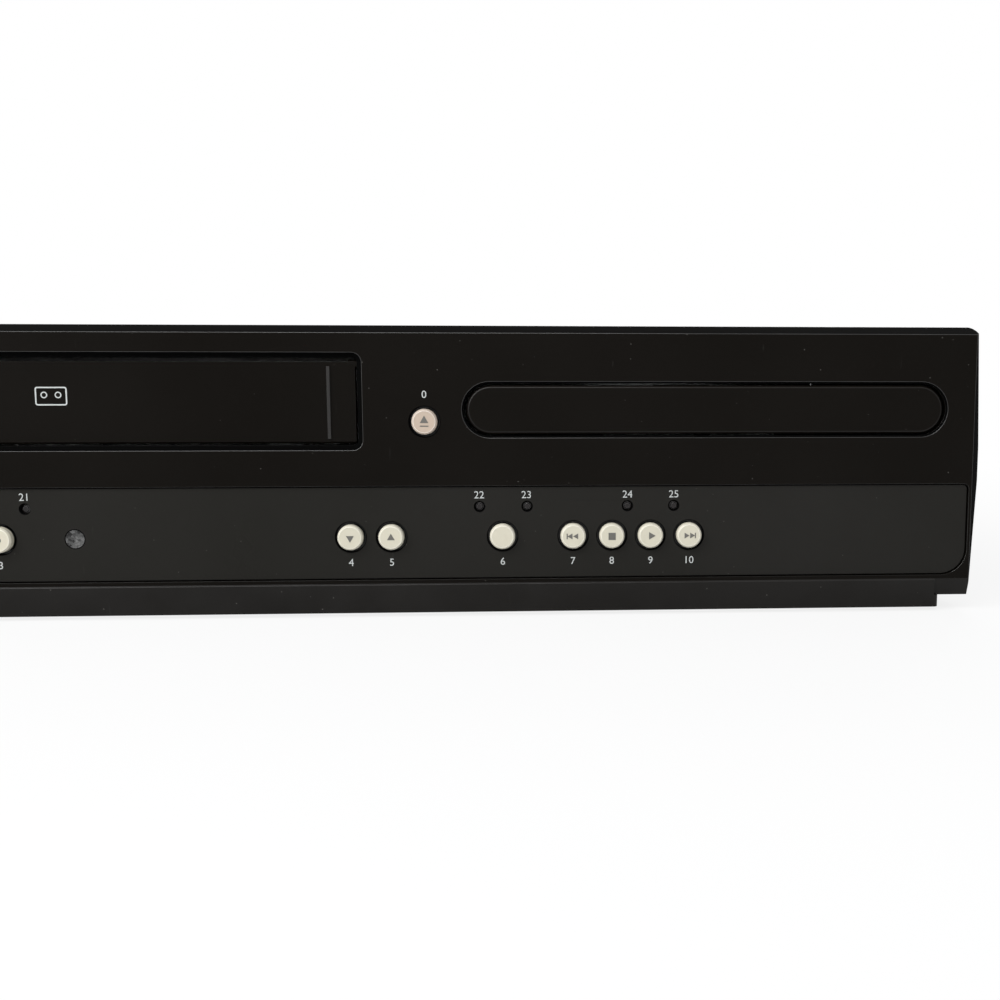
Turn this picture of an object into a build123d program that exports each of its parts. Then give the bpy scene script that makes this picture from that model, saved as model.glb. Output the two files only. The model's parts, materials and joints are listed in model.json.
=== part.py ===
"""Disc and tape player: a wide flat casing with a cassette deck on the left and a disc tray on the right."""
import os
from math import atan2, cos, degrees, hypot, pi, radians, sin, tan

from build123d import *

os.makedirs("parts", exist_ok=True)

# Overall size. The front looks along -Y, the floor is Z = 0, and X = 0 is the middle of the width.
width = 435.0  # widest line of the fascia, at the step across its middle
height = 99.5  # floor to the top of the fascia
depth = 237.0  # button faces to the ends of the rear sockets
button_proud = 1.3  # button faces in front of the fascia
socket_reach = 9.0  # rear sockets behind the rear panel
sheet = 1.0  # steel sheet of the casing
plastic = 2.8  # wall of the fascia
play = 0.3  # gap between pieces that move past each other
shaft_fit = 0.05  # radial clearance of a shaft in its bore

front_y = -depth / 2 + button_proud
rear_y = depth / 2 - socket_reach

# Fascia outline, seen from the front
fascia_depth = 26.5
fascia_bottom = 5.6
top_half = 215.1
bottom_half = 214.4
widest_low = 46.0
widest_high = 58.0
rim_height = 2.6  # sloping strip above the top front edge
rim_depth = 4.0
strip_height = 6.0  # bevel along the bottom of the front
strip_depth = 1.0
side_bevel = 3.0  # the sides of the front turn back by this, most where the front is widest
corner_radius = 3.0
plinth_inset = 10.5
plinth_half = bottom_half - plinth_inset
plinth_bottom = 1.5
plinth_proud = 0.4  # the lip stands this far in front of the fascia
plinth_corner = 1.7
plinth_depth = 20.0

# Cassette opening and flap
cassette_x = -100.3
cassette_bevel = 1.8
opening_width = 207.8
opening_bottom = 57.4
opening_top = 90.4
opening_radius = 3.4
flap_gap_side = 0.7
flap_gap_bottom = 0.5
flap_gap_top = 1.3
flap_thickness = 2.0
flap_recess = 2.2  # flap face behind the fascia
flap_pivot_drop = 0.8  # pivot below the flap's top edge
flap_pivot_back = 1.4  # pivot behind the flap's front face
pin_radius = 1.5
pin_length = 2.4
ridge_spacing = 184.8
ridge_width = 1.0
ridge_height = 0.5
ridge_margin = 1.6

# Tray opening and tray front
tray_x = 120.9
tray_z = 71.1
tray_opening_width = 168.2
tray_opening_height = 19.2
tray_bevel = 0.7
tray_gap = 1.3
tray_front_thickness = 2.6
tray_front_recess = 0.3

# Control panel insert
panel_margin = 1.4  # ends of the insert from the sides of the fascia
panel_half = bottom_half - panel_margin
panel_bottom = 13.4
panel_top = 44.7
panel_low_radius = 8.6
panel_high_radius = 1.5
panel_groove = 0.5
panel_set_back = 0.8
panel_thickness = plastic - panel_set_back
ledge_thickness = 1.6
ledge_overlap_side = 7.0
ledge_overlap_end = 3.8

# Buttons, lamps and window, in X and Z
button_diameter = 9.0
button_hole = 10.3
button_rim = 0.6
button_travel = 0.8
button_row_z = 27.7
transport_pitch = 13.4
tracking_pitch = 13.8
flange_size = 12.2
flange_thickness = 1.2
stem_size = 3.0
stem_length = 3.0
open_close_x = 24.3
open_close_z = 67.1
power_inset = 14.0  # power button from the end of the panel
power_x = power_inset - panel_half
record_offset = 81.2  # record button from the power button
record_x = power_x + record_offset
tracking_x = -1.4
source_x = 50.3
previous_x = 74.6
lamp_diameter = 3.0
lamp_hole = 3.4
lamp_recess = 0.9
lamp_row_z = 38.0
record_lamp_offset = 8.6  # record lamp and infrared window from the record button
window_offset = 24.5
lamp_xs = (power_x, record_x + record_lamp_offset, 42.5, 58.8, 93.4, 109.5)
window_x = record_x + window_offset
window_diameter = 6.2
front_jack_offset = 29.0  # middle jack from the power button
front_jack_x = power_x + front_jack_offset
front_jack_pitch = 14.0
plug_sleeve = 2.1  # room round each front barrel for the sleeve of a plug
plug_depth = 9.0  # and behind the face of the fascia

buttons = {
    "power_button": (power_x, button_row_z),
    "cassette_eject_button": (record_x - transport_pitch, button_row_z),
    "record_button": (record_x, button_row_z),
    "tracking_down_button": (tracking_x, button_row_z),
    "tracking_up_button": (tracking_x + tracking_pitch, button_row_z),
    "source_button": (source_x, button_row_z),
    "previous_button": (previous_x, button_row_z),
    "stop_button": (previous_x + transport_pitch, button_row_z),
    "play_button": (previous_x + 2 * transport_pitch, button_row_z),
    "next_button": (previous_x + 3 * transport_pitch, button_row_z),
    "open_close_button": (open_close_x, open_close_z),
}

# Casing
cover_gap = 0.2  # sides of the cover inside the foot of the fascia
cover_half = bottom_half - cover_gap
cover_top = 98.5
cover_bottom = 7.2
floor_z = 6.5
floor_top = floor_z + sheet
fascia_rear = front_y + fascia_depth
cover_inner = cover_half - sheet
side_flange = 22.0  # top of the chassis sides
rear_flange = 18.0  # top of the chassis rear edge
screw_radius = 1.5
screw_hole = 1.6
screw_head_radius = 3.5
screw_head = 2.0
screw_length = 5.0
foot_radius = 11.0
foot_inset = 41.2
foot_front_inset = 12.7
foot_rear_inset = 21.5
foot_x = cover_inner - foot_inset
foot_front_y = fascia_rear + foot_front_inset
foot_rear_y = rear_y - foot_rear_inset

# Boards
board_thickness = 1.6
board_z = 12.0
front_board_gap = 13.1  # front board behind the face of the fascia
front_board_y = front_y + front_board_gap
jack_radius = 4.15
jack_bore = 1.6
collar_step = 0.2  # socket collars stand this much out from the shells, and off their holes
collar_proud = 0.5


def upright(y):
    """Plane facing the viewer at depth y: sketches are drawn in X and Z, and extrude(-t) goes to the rear."""
    return Plane.XZ.offset(-y)


def level(z):
    """Horizontal plane at height z."""
    return Plane.XY.offset(z)


def sideways(x):
    """Plane across the width at x: sketches are drawn in Y and Z, and extrude(t) goes to +X."""
    return Plane.YZ.offset(x)


def block(low, high, mode=Mode.ADD):
    """Box between two corners, for lugs, ledges, walls and cuts."""
    size = [b - a for a, b in zip(low, high)]
    centre = [(a + b) / 2 for a, b in zip(low, high)]
    with Locations(tuple(centre)):
        Box(*size, mode=mode)


def rod(x, y, low, high, radius, mode=Mode.ADD):
    """Upright cylinder from height low to height high."""
    with Locations((x, y, (low + high) / 2)):
        Cylinder(radius, high - low, mode=mode)


def mirrored(right):
    """Closed outline of the points on the right, read upwards, and their mirror images on the left."""
    return right + [(-x, z) for x, z in reversed(right)]


half = width / 2
fascia_outline = mirrored(
    [(bottom_half, fascia_bottom), (half, widest_low), (half, widest_high), (top_half, height)]
)


# Throat of the cassette opening, inside its bevel
throat_left = cassette_x - opening_width / 2 + cassette_bevel
throat_right = cassette_x + opening_width / 2 - cassette_bevel
throat_bottom = opening_bottom + cassette_bevel
throat_top = opening_top - cassette_bevel
throat_z = (throat_bottom + throat_top) / 2
flap_left = throat_left + flap_gap_side
flap_right = throat_right - flap_gap_side
flap_bottom = throat_bottom + flap_gap_bottom
flap_top = throat_top - flap_gap_top
flap_y = front_y + flap_recess
pivot_y = flap_y + flap_pivot_back
pivot_z = flap_top - flap_pivot_drop
wall_back = front_y + plastic
ledge_back = wall_back + ledge_thickness

# Front fascia: moulded front with sloping rim, bevelled strip, plinth lip, openings and clips
lug_thickness = 3.2
lug_radius = 3.6
clip_width = 14.0
clip_thickness = 1.8
clip_front = 5.5
clip_reach = 8.5
clip_xs = (-150.0, -50.0, 30.0, 150.0)
boss_radius = 3.0
boss_inset = 23.0
boss_end = panel_half - boss_inset
boss_xs = (-boss_end, -70.0, 30.0, boss_end)
boss_low_z = 15.2
boss_high_z = 43.6
board_inset = 15.0
board_half = panel_half - board_inset
board_low = 11.5
board_high = 46.5

with BuildPart() as front_fascia:
    with BuildSketch(sideways(-width / 2)):
        with BuildLine():
            Polyline(
                (front_y, fascia_bottom + strip_height),
                (front_y, height - rim_height),
                (front_y + rim_depth, height),
                (fascia_rear, height),
                (fascia_rear, fascia_bottom),
                (front_y + strip_depth, fascia_bottom),
                close=True,
            )
        make_face()
    extrude(amount=width)
    with BuildSketch(upright(front_y)) as outline:
        with BuildLine():
            Polyline(*fascia_outline, close=True)
        make_face()
        fillet(outline.vertices().group_by(Axis.Y)[-1], corner_radius)
    extrude(amount=-fascia_depth, mode=Mode.INTERSECT)
    with BuildSketch(level(fascia_bottom)):
        with BuildLine():
            Polyline(
                (half - side_bevel, front_y),
                (half, front_y + side_bevel),
                (half, fascia_rear),
                (-half, fascia_rear),
                (-half, front_y + side_bevel),
                (-half + side_bevel, front_y),
                close=True,
            )
        make_face()
    extrude(amount=height - fascia_bottom, mode=Mode.INTERSECT)
    with BuildSketch(upright(wall_back)):
        with BuildLine():
            Polyline(*fascia_outline, close=True)
        make_face()
        offset(amount=-plastic)
    extrude(amount=-fascia_depth, mode=Mode.SUBTRACT)
    plinth_front = front_y - plinth_proud
    lip_top = fascia_bottom + strip_height
    with BuildSketch(level(plinth_bottom)) as plinth:
        with Locations((0, plinth_front + plinth_depth / 2)):
            Rectangle(2 * plinth_half, plinth_depth)
        fillet(plinth.vertices().group_by(Axis.Y)[0], plinth_corner)
    extrude(amount=fascia_bottom - plinth_bottom)
    with BuildSketch(sideways(-plinth_half + plinth_corner)):
        with BuildLine():
            Polyline(
                (plinth_front, fascia_bottom),
                (plinth_front, lip_top - plinth_proud),
                (front_y, lip_top),
                (wall_back, lip_top),
                (wall_back, fascia_bottom),
                close=True,
            )
        make_face()
    extrude(amount=2 * (plinth_half - plinth_corner))
    block((-panel_half, wall_back, fascia_bottom + plastic), (panel_half, ledge_back, panel_top + plastic))
    with BuildSketch(upright(front_y)) as recess:
        with Locations((0, (panel_bottom + panel_top) / 2)):
            Rectangle(2 * (panel_half + panel_groove), panel_top - panel_bottom + 2 * panel_groove)
        fillet(recess.vertices().group_by(Axis.Y)[0], panel_low_radius + panel_groove)
        fillet(recess.vertices().group_by(Axis.Y)[-1], panel_high_radius + panel_groove)
    extrude(amount=-plastic, mode=Mode.SUBTRACT)
    block(
        (-panel_half + ledge_overlap_side, front_y, panel_bottom + ledge_overlap_end),
        (panel_half - ledge_overlap_side, ledge_back, panel_top - ledge_overlap_end),
        mode=Mode.SUBTRACT,
    )
    throat_width = throat_right - throat_left
    with BuildSketch(upright(front_y)):
        with Locations((cassette_x, throat_z)):
            RectangleRounded(throat_width, throat_top - throat_bottom, opening_radius - cassette_bevel)
        with Locations((tray_x, tray_z)):
            SlotOverall(tray_opening_width - 2 * tray_bevel, tray_opening_height - 2 * tray_bevel)
        with Locations((open_close_x, open_close_z)):
            Circle(button_hole / 2)
    extrude(amount=-plastic, mode=Mode.SUBTRACT)
    front_edges = front_fascia.edges().filter_by_position(Axis.Y, front_y - play, front_y + play)
    cassette_rim = front_edges.filter_by_position(Axis.X, throat_left - 1, throat_right + 1)
    chamfer(cassette_rim.filter_by_position(Axis.Z, throat_bottom - 1, throat_top + 1), cassette_bevel)
    front_edges = front_fascia.edges().filter_by_position(Axis.Y, front_y - play, front_y + play)
    tray_low = tray_z - tray_opening_height / 2
    tray_high = tray_z + tray_opening_height / 2
    tray_left = tray_x - tray_opening_width / 2
    tray_rim = front_edges.filter_by_position(Axis.X, tray_left, tray_x + tray_opening_width / 2)
    chamfer(tray_rim.filter_by_position(Axis.Z, tray_low, tray_high), tray_bevel)
    for lug_x in (throat_left - lug_thickness, throat_right):
        with BuildSketch(sideways(lug_x)):
            with Locations((pivot_y, pivot_z)):
                Circle(lug_radius)
            with Locations((wall_back - lug_radius, pivot_z)):
                Rectangle(2 * lug_radius, 3 * lug_radius, mode=Mode.SUBTRACT)
        extrude(amount=lug_thickness)
    with BuildSketch(sideways(throat_left - lug_thickness)):
        with Locations((pivot_y, pivot_z)):
            Circle(pin_radius + shaft_fit)
    extrude(amount=throat_width + 2 * lug_thickness, mode=Mode.SUBTRACT)
    for clip_x in clip_xs:
        left = clip_x - clip_width / 2
        right = clip_x + clip_width / 2
        for clip_low in (floor_top, cover_top - sheet - clip_thickness):
            block(
                (left, fascia_rear - clip_front, clip_low),
                (right, fascia_rear + clip_reach, clip_low + clip_thickness),
            )
    with BuildSketch(upright(ledge_back)):
        with Locations(*[(x, z) for x in boss_xs for z in (boss_low_z, boss_high_z)]):
            Circle(boss_radius)
    extrude(amount=-(front_board_y - ledge_back))
front_fascia.part.label = "front_fascia"
export_step(front_fascia.part, "parts/front_fascia.step")

# Cassette flap: recessed panel with two thin upright ridges, hung on side pins at its top
with BuildPart() as cassette_flap:
    block((flap_left, flap_y, flap_bottom), (flap_right, flap_y + flap_thickness, flap_top))
    flap_front = cassette_flap.faces().sort_by(Axis.Y)[0]
    chamfer(flap_front.edges().sort_by(Axis.Z)[0], flap_thickness / 3)
    for side in (-1, 1):
        ridge_x = cassette_x + side * ridge_spacing / 2
        block(
            (ridge_x - ridge_width / 2, flap_y - ridge_height, flap_bottom + ridge_margin),
            (ridge_x + ridge_width / 2, flap_y, flap_top - ridge_margin),
        )
    for pin_x in (throat_left - pin_length, flap_right - pin_length):
        with BuildSketch(sideways(pin_x)):
            with Locations((pivot_y, pivot_z)):
                Circle(pin_radius)
        extrude(amount=2 * pin_length + flap_gap_side)
cassette_flap.part.label = "cassette_flap"
export_step(cassette_flap.part, "parts/cassette_flap.step")

# Control panel insert: flat plate with rounded lower corners, in the groove of the lower front
panel_y = front_y + panel_set_back
row_buttons = [place for place in buttons.values() if place[1] == button_row_z]
front_jacks = [(front_jack_x + step * front_jack_pitch, button_row_z) for step in (-1, 0, 1)]

with BuildPart() as control_panel:
    with BuildSketch(upright(panel_y)) as plate:
        with Locations((0, (panel_bottom + panel_top) / 2)):
            Rectangle(2 * panel_half, panel_top - panel_bottom)
        fillet(plate.vertices().group_by(Axis.Y)[0], panel_low_radius)
        fillet(plate.vertices().group_by(Axis.Y)[-1], panel_high_radius)
        with Locations(*row_buttons):
            Circle(button_hole / 2, mode=Mode.SUBTRACT)
        with Locations(*[(x, lamp_row_z) for x in lamp_xs]):
            Circle(lamp_hole / 2, mode=Mode.SUBTRACT)
        with Locations((window_x, button_row_z)):
            Circle(window_diameter / 2 + shaft_fit, mode=Mode.SUBTRACT)
        with Locations(*front_jacks):
            Circle(jack_radius + plug_sleeve, mode=Mode.SUBTRACT)
    extrude(amount=-panel_thickness)
control_panel.part.label = "control_panel"
export_step(control_panel.part, "parts/control_panel.step")

# Push buttons: round ivory cap, square flange that keeps it behind its hole, and a stem above its switch
cap_y = front_y - button_proud


def make_button(x, z):
    flange_y = wall_back + play
    with BuildPart() as button:
        with BuildSketch(upright(cap_y)):
            with Locations((x, z)):
                Circle(button_diameter / 2)
        extrude(amount=-(flange_y - cap_y))
        chamfer(button.faces().sort_by(Axis.Y)[0].edges(), button_rim)
        with BuildSketch(upright(flange_y)):
            with Locations((x, z)):
                Rectangle(flange_size, flange_size)
        extrude(amount=-flange_thickness)
        with BuildSketch(upright(flange_y + flange_thickness)):
            with Locations((x, z)):
                Rectangle(stem_size, stem_size)
        extrude(amount=-stem_length)
    return button.part


for button_name, (button_x, button_z) in buttons.items():
    push_button = make_button(button_x, button_z)
    push_button.label = button_name
    export_step(push_button, f"parts/{button_name}.step")

# Infrared window and indicator lamps
lamp_front = panel_y + lamp_recess
with BuildPart() as infrared_window:
    with BuildSketch(upright(panel_y)):
        with Locations((window_x, button_row_z)):
            Circle(window_diameter / 2)
    extrude(amount=-panel_thickness)
infrared_window.part.label = "infrared_window"
export_step(infrared_window.part, "parts/infrared_window.step")

with BuildPart() as indicator_lamps:
    with BuildSketch(upright(lamp_front)):
        with Locations(*[(x, lamp_row_z) for x in lamp_xs]):
            Circle(lamp_diameter / 2)
    extrude(amount=-(front_board_y - lamp_front))
indicator_lamps.part.label = "indicator_lamps"
export_step(indicator_lamps.part, "parts/indicator_lamps.step")

# Front board on the fascia's bosses, with a tongue up to the open/close switch
tongue_half = 9.0
switch_size = 6.0
switch_thickness = 3.5
stem_end = wall_back + play + flange_thickness + stem_length
plunger_y = stem_end + button_travel + play

with BuildPart() as front_board:
    block((-board_half, front_board_y, board_low), (board_half, front_board_y + board_thickness, board_high))
    block(
        (open_close_x - tongue_half, front_board_y, board_high),
        (open_close_x + tongue_half, front_board_y + board_thickness, open_close_z + tongue_half),
    )
front_board.part.label = "front_board"
export_step(front_board.part, "parts/front_board.step")

with BuildPart() as tact_switches:
    with BuildSketch(upright(front_board_y)):
        with Locations(*buttons.values()):
            Rectangle(switch_size, switch_size)
    extrude(amount=switch_thickness)
    with BuildSketch(upright(front_board_y - switch_thickness)):
        with Locations(*buttons.values()):
            Rectangle(stem_size, stem_size)
    extrude(amount=front_board_y - switch_thickness - plunger_y)
tact_switches.part.label = "tact_switches"
export_step(tact_switches.part, "parts/tact_switches.step")

# Front input jacks: hollow barrels in wider holes of the panel, on square bodies in front of the board
front_jack_body = 13.0
front_jack_reach = 0.6
with BuildPart() as front_input_jacks:
    with BuildSketch(upright(front_y - front_jack_reach)):
        with Locations(*front_jacks):
            Circle(jack_radius)
    extrude(amount=-(front_board_y - front_y + front_jack_reach))
    with BuildSketch(upright(front_y + plug_depth)):
        with Locations(*front_jacks):
            Rectangle(front_jack_body, front_jack_body)
    extrude(amount=-(front_board_y - front_y - plug_depth))
    with BuildSketch(upright(front_y - front_jack_reach)):
        with Locations(*front_jacks):
            Circle(jack_bore)
    extrude(amount=-socket_reach, mode=Mode.SUBTRACT)
front_input_jacks.part.label = "front_input_jacks"
export_step(front_input_jacks.part, "parts/front_input_jacks.step")

# Casing: chassis pan, rear panel, cover, screws and feet
slot_width = 2.4
slot_length = 20.0
slot_pitch = 8.0
side_screw_z = 15.0
side_screw_front_inset = 20.7
side_screw_rear_inset = 24.5
side_screw_ys = (fascia_rear + side_screw_front_inset, rear_y - side_screw_rear_inset)
rear_screw_z = 13.0
rear_screw_top_z = 93.0
rear_screw_inset = 13.2
rear_screw_end = cover_inner - rear_screw_inset
rear_screw_xs = (-rear_screw_end, 0.0, rear_screw_end)
lip_height = 9.0
pan_rear = rear_y - sheet
foot_spots = [(side * foot_x, y) for side in (-1, 1) for y in (foot_front_y, foot_rear_y)]
vent_groups = (-120.0, 120.0)
vent_rows_y = (60.0, 86.0)
vent_count = 8
side_vent_count = 6
side_vent_y = 20.0
side_vent_z = 60.0
foot_screw_radius = 2.0

# Places of the two boards on the floor, and of the pressed standoffs under them
standoff_radius = 3.0
board_top = board_z + board_thickness
power_low_x = 6.0
power_high_x = 45.0
power_low_y = -60.0
power_rear_inset = 11.5
power_high_y = rear_y - power_rear_inset
main_low_x = 62.0
main_side_inset = 8.2
main_high_x = cover_inner - main_side_inset
main_low_y = -70.0
main_rear_inset = 5.5
main_high_y = rear_y - main_rear_inset
inset = 6.0
standoff_spots = [
    (x, y)
    for low_x, high_x, low_y, high_y in (
        (power_low_x, power_high_x, power_low_y, power_high_y),
        (main_low_x, main_high_x, main_low_y, main_high_y),
    )
    for x in (low_x + inset, high_x - inset)
    for y in (low_y + inset, high_y - 4 * inset)
]

# Tape deck frame sizes that the chassis posts under it follow
deck_x = cassette_x
deck_half = 99.0
deck_z = 31.5
deck_front_inset = 4.7
deck_rear_inset = 13.5
deck_front = fascia_rear + deck_front_inset
deck_rear = rear_y - deck_rear_inset
pillar_radius = 4.0
pillar_inset = 8.0
pillar_spots = [
    (deck_x + side * (deck_half - pillar_inset), y)
    for side in (-1, 1)
    for y in (deck_front + pillar_inset, deck_rear - pillar_inset)
]

floor_vent_count = 4

with BuildPart() as bottom_chassis:
    block((-cover_inner, fascia_rear, floor_z), (cover_inner, pan_rear, floor_top))
    for side in (-1, 1):
        low_x, high_x = sorted((side * cover_inner, side * (cover_inner - sheet)))
        block((low_x, fascia_rear, floor_top), (high_x, pan_rear, side_flange))
    block((-cover_inner + sheet, pan_rear - sheet, floor_top), (cover_inner - sheet, pan_rear, rear_flange))
    for spot in standoff_spots:
        rod(*spot, floor_top, board_z, standoff_radius)
    for spot in pillar_spots:
        rod(*spot, floor_top, deck_z, pillar_radius)
    with BuildSketch(level(floor_z)):
        with Locations(*foot_spots):
            Circle(foot_screw_radius)
        with Locations((vent_groups[0], 0), (vent_groups[1], 0)):
            with GridLocations(2 * slot_pitch, 2 * slot_length, floor_vent_count, 2):
                Rectangle(slot_width, slot_length)
    extrude(amount=sheet, mode=Mode.SUBTRACT)
    with BuildSketch(sideways(-cover_inner)):
        with Locations(*[(y, side_screw_z) for y in side_screw_ys]):
            Circle(screw_hole)
    extrude(amount=2 * cover_inner, mode=Mode.SUBTRACT)
    with BuildSketch(upright(pan_rear - sheet)):
        with Locations(*[(x, rear_screw_z) for x in rear_screw_xs]):
            Circle(screw_hole)
    extrude(amount=-sheet, mode=Mode.SUBTRACT)
bottom_chassis.part.label = "bottom_chassis"
export_step(bottom_chassis.part, "parts/bottom_chassis.step")

# Rear sockets: places in X and Z, seen from the front
socket_pitch_x = 14.0
socket_pitch_z = 15.0
socket_block_low_x = 62.0
socket_first_x = 70.0
socket_low_z = 24.0
socket_columns = 5
sockets = [
    (socket_first_x + column * socket_pitch_x, socket_low_z + row * socket_pitch_z)
    for column in range(socket_columns)
    for row in range(2)
]
disc_socket_x = socket_first_x + socket_columns * socket_pitch_x
disc_socket_radius = 4.6
aerial_inset = 26.2  # outer aerial socket from the side of the casing
aerial_pitch = 22.0
aerial_xs = (cover_inner - aerial_inset - aerial_pitch, cover_inner - aerial_inset)
aerial_z = 30.0
aerial_radius = 4.75
aerial_bore = 1.2
gland_x = 25.0
gland_z = 25.0
gland_radius = 5.5
cord_radius = 3.5

with BuildPart() as rear_panel:
    with BuildSketch(upright(pan_rear)) as back_plate:
        with Locations((0, (floor_z + cover_top - sheet) / 2)):
            Rectangle(2 * (cover_inner - play), cover_top - sheet - floor_z)
        fillet(back_plate.vertices().group_by(Axis.Y)[-1], 2 * sheet)
    extrude(amount=-sheet)
    with BuildSketch(upright(pan_rear)):
        with Locations(*sockets):
            Circle(jack_radius + 2 * collar_step)
        with Locations((disc_socket_x, socket_low_z + socket_pitch_z / 2)):
            Circle(disc_socket_radius + play)
        with Locations(*[(x, aerial_z) for x in aerial_xs]):
            Circle(aerial_radius + 2 * collar_step)
        with Locations((gland_x, gland_z)):
            Circle(gland_radius)
        with Locations(*[(x, z) for x in rear_screw_xs for z in (rear_screw_z, rear_screw_top_z)]):
            Circle(screw_hole)
        with Locations((cassette_x, side_vent_z)):
            with GridLocations(slot_pitch, slot_length, vent_count, 1):
                Rectangle(slot_width, slot_length)
    extrude(amount=-sheet, mode=Mode.SUBTRACT)
rear_panel.part.label = "rear_panel"
export_step(rear_panel.part, "parts/rear_panel.step")

with BuildPart() as top_cover:
    with BuildSketch(upright(fascia_rear)) as cover_outer:
        with Locations((0, (cover_top + cover_bottom) / 2)):
            Rectangle(2 * cover_half, cover_top - cover_bottom)
        fillet(cover_outer.vertices().group_by(Axis.Y)[-1], 2 * sheet)
    extrude(amount=-(rear_y - fascia_rear))
    with BuildSketch(upright(fascia_rear)) as cover_hollow:
        with Locations((0, (cover_top - sheet + cover_bottom - sheet) / 2)):
            Rectangle(2 * cover_inner, cover_top - cover_bottom)
        fillet(cover_hollow.vertices().group_by(Axis.Y)[-1], sheet)
    extrude(amount=-(rear_y - fascia_rear), mode=Mode.SUBTRACT)
    block(
        (-cover_inner, pan_rear - sheet, cover_top - sheet - lip_height),
        (cover_inner, pan_rear, cover_top - sheet),
    )
    with BuildSketch(level(cover_top - 2 * sheet)):
        for group_x in vent_groups:
            with Locations(*[(group_x, y) for y in vent_rows_y]):
                with GridLocations(slot_pitch, slot_length, vent_count, 1):
                    Rectangle(slot_width, slot_length)
    extrude(amount=2 * sheet, mode=Mode.SUBTRACT)
    with BuildSketch(sideways(-cover_half)):
        with Locations((side_vent_y, side_vent_z)):
            with GridLocations(slot_pitch, slot_length, side_vent_count, 1):
                Rectangle(slot_width, slot_length)
        with Locations(*[(y, side_screw_z) for y in side_screw_ys]):
            Circle(screw_hole)
    extrude(amount=2 * cover_half, mode=Mode.SUBTRACT)
    with BuildSketch(upright(pan_rear - sheet)):
        with Locations(*[(x, rear_screw_top_z) for x in rear_screw_xs]):
            Circle(screw_hole)
    extrude(amount=-sheet, mode=Mode.SUBTRACT)
top_cover.part.label = "top_cover"
export_step(top_cover.part, "parts/top_cover.step")

with BuildPart() as case_screws:
    for side in (-1, 1):
        face = Plane(origin=(side * cover_half, 0, 0), x_dir=(0, side, 0), z_dir=(side, 0, 0))
        with BuildSketch(face):
            with Locations(*[(side * y, side_screw_z) for y in side_screw_ys]):
                Circle(screw_head_radius)
        extrude(amount=screw_head)
        with BuildSketch(face):
            with Locations(*[(side * y, side_screw_z) for y in side_screw_ys]):
                Circle(screw_radius)
        extrude(amount=-screw_length)
    rear_spots = [(x, z) for x in rear_screw_xs for z in (rear_screw_z, rear_screw_top_z)]
    with BuildSketch(upright(rear_y)):
        with Locations(*rear_spots):
            Circle(screw_head_radius)
    extrude(amount=-screw_head)
    with BuildSketch(upright(rear_y)):
        with Locations(*rear_spots):
            Circle(screw_radius)
    extrude(amount=screw_length)
case_screws.part.label = "case_screws"
export_step(case_screws.part, "parts/case_screws.step")

foot_taper = 12

with BuildPart() as feet:
    with BuildSketch(level(0)):
        with Locations(*foot_spots):
            Circle(foot_radius)
    extrude(amount=floor_z, taper=foot_taper)
    for foot_spot in foot_spots:
        rod(*foot_spot, floor_z - sheet, floor_top + sheet, foot_screw_radius - play)
feet.part.label = "feet"
export_step(feet.part, "parts/feet.step")

# Electronics: boards, power supply, tuner, rear sockets and cord gland
with BuildPart() as power_board:
    block((power_low_x, power_low_y, board_z), (power_high_x, power_high_y, board_top))
power_board.part.label = "power_board"
export_step(power_board.part, "parts/power_board.step")

transformer_x = (power_low_x + power_high_x) / 2
transformer_y = 12.0
transformer_core = 26.0
transformer_winding = 20.0
transformer_height = 28.0
winding_reach = 4.0
winding_drop = 6.0
with BuildPart() as power_transformer:
    half_core = transformer_core / 2
    half_winding = transformer_winding / 2
    block(
        (transformer_x - half_winding, transformer_y - half_core - winding_reach, board_top),
        (
            transformer_x + half_winding,
            transformer_y + half_core + winding_reach,
            board_top + transformer_height - winding_drop,
        ),
    )
    block(
        (transformer_x - half_core, transformer_y - half_winding / 2, board_top),
        (transformer_x + half_core, transformer_y + half_winding / 2, board_top + transformer_height),
    )
power_transformer.part.label = "power_transformer"
export_step(power_transformer.part, "parts/power_transformer.step")

capacitor_radius = 8.0
capacitor_height = 26.0
capacitor_spots = ((transformer_x - 9, 48.0), (transformer_x + 9, 48.0), (transformer_x, -30.0))
with BuildPart() as capacitors:
    for spot in capacitor_spots:
        rod(*spot, board_top, board_top + capacitor_height, capacitor_radius)
capacitors.part.label = "capacitors"
export_step(capacitors.part, "parts/capacitors.step")

# Disc loader sizes that the main board has to leave room for
loader_half = 70.5
loader_front_inset = 2.7
loader_rear_inset = 19.5
loader_front = fascia_rear + loader_front_inset
loader_rear = rear_y - loader_rear_inset
leg_radius = 4.5
leg_inset = 6.0
leg_rear_inset = 40.0
leg_spots = [
    (tray_x + side * (loader_half - leg_inset), y)
    for side in (-1, 1)
    for y in (loader_front + leg_inset, loader_rear - leg_rear_inset)
]

with BuildPart() as main_board:
    block((main_low_x, main_low_y, board_z), (main_high_x, main_high_y, board_top))
    for leg in leg_spots:
        rod(*leg, board_z, board_top, leg_radius + 2 * play, mode=Mode.SUBTRACT)
main_board.part.label = "main_board"
export_step(main_board.part, "parts/main_board.step")

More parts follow.
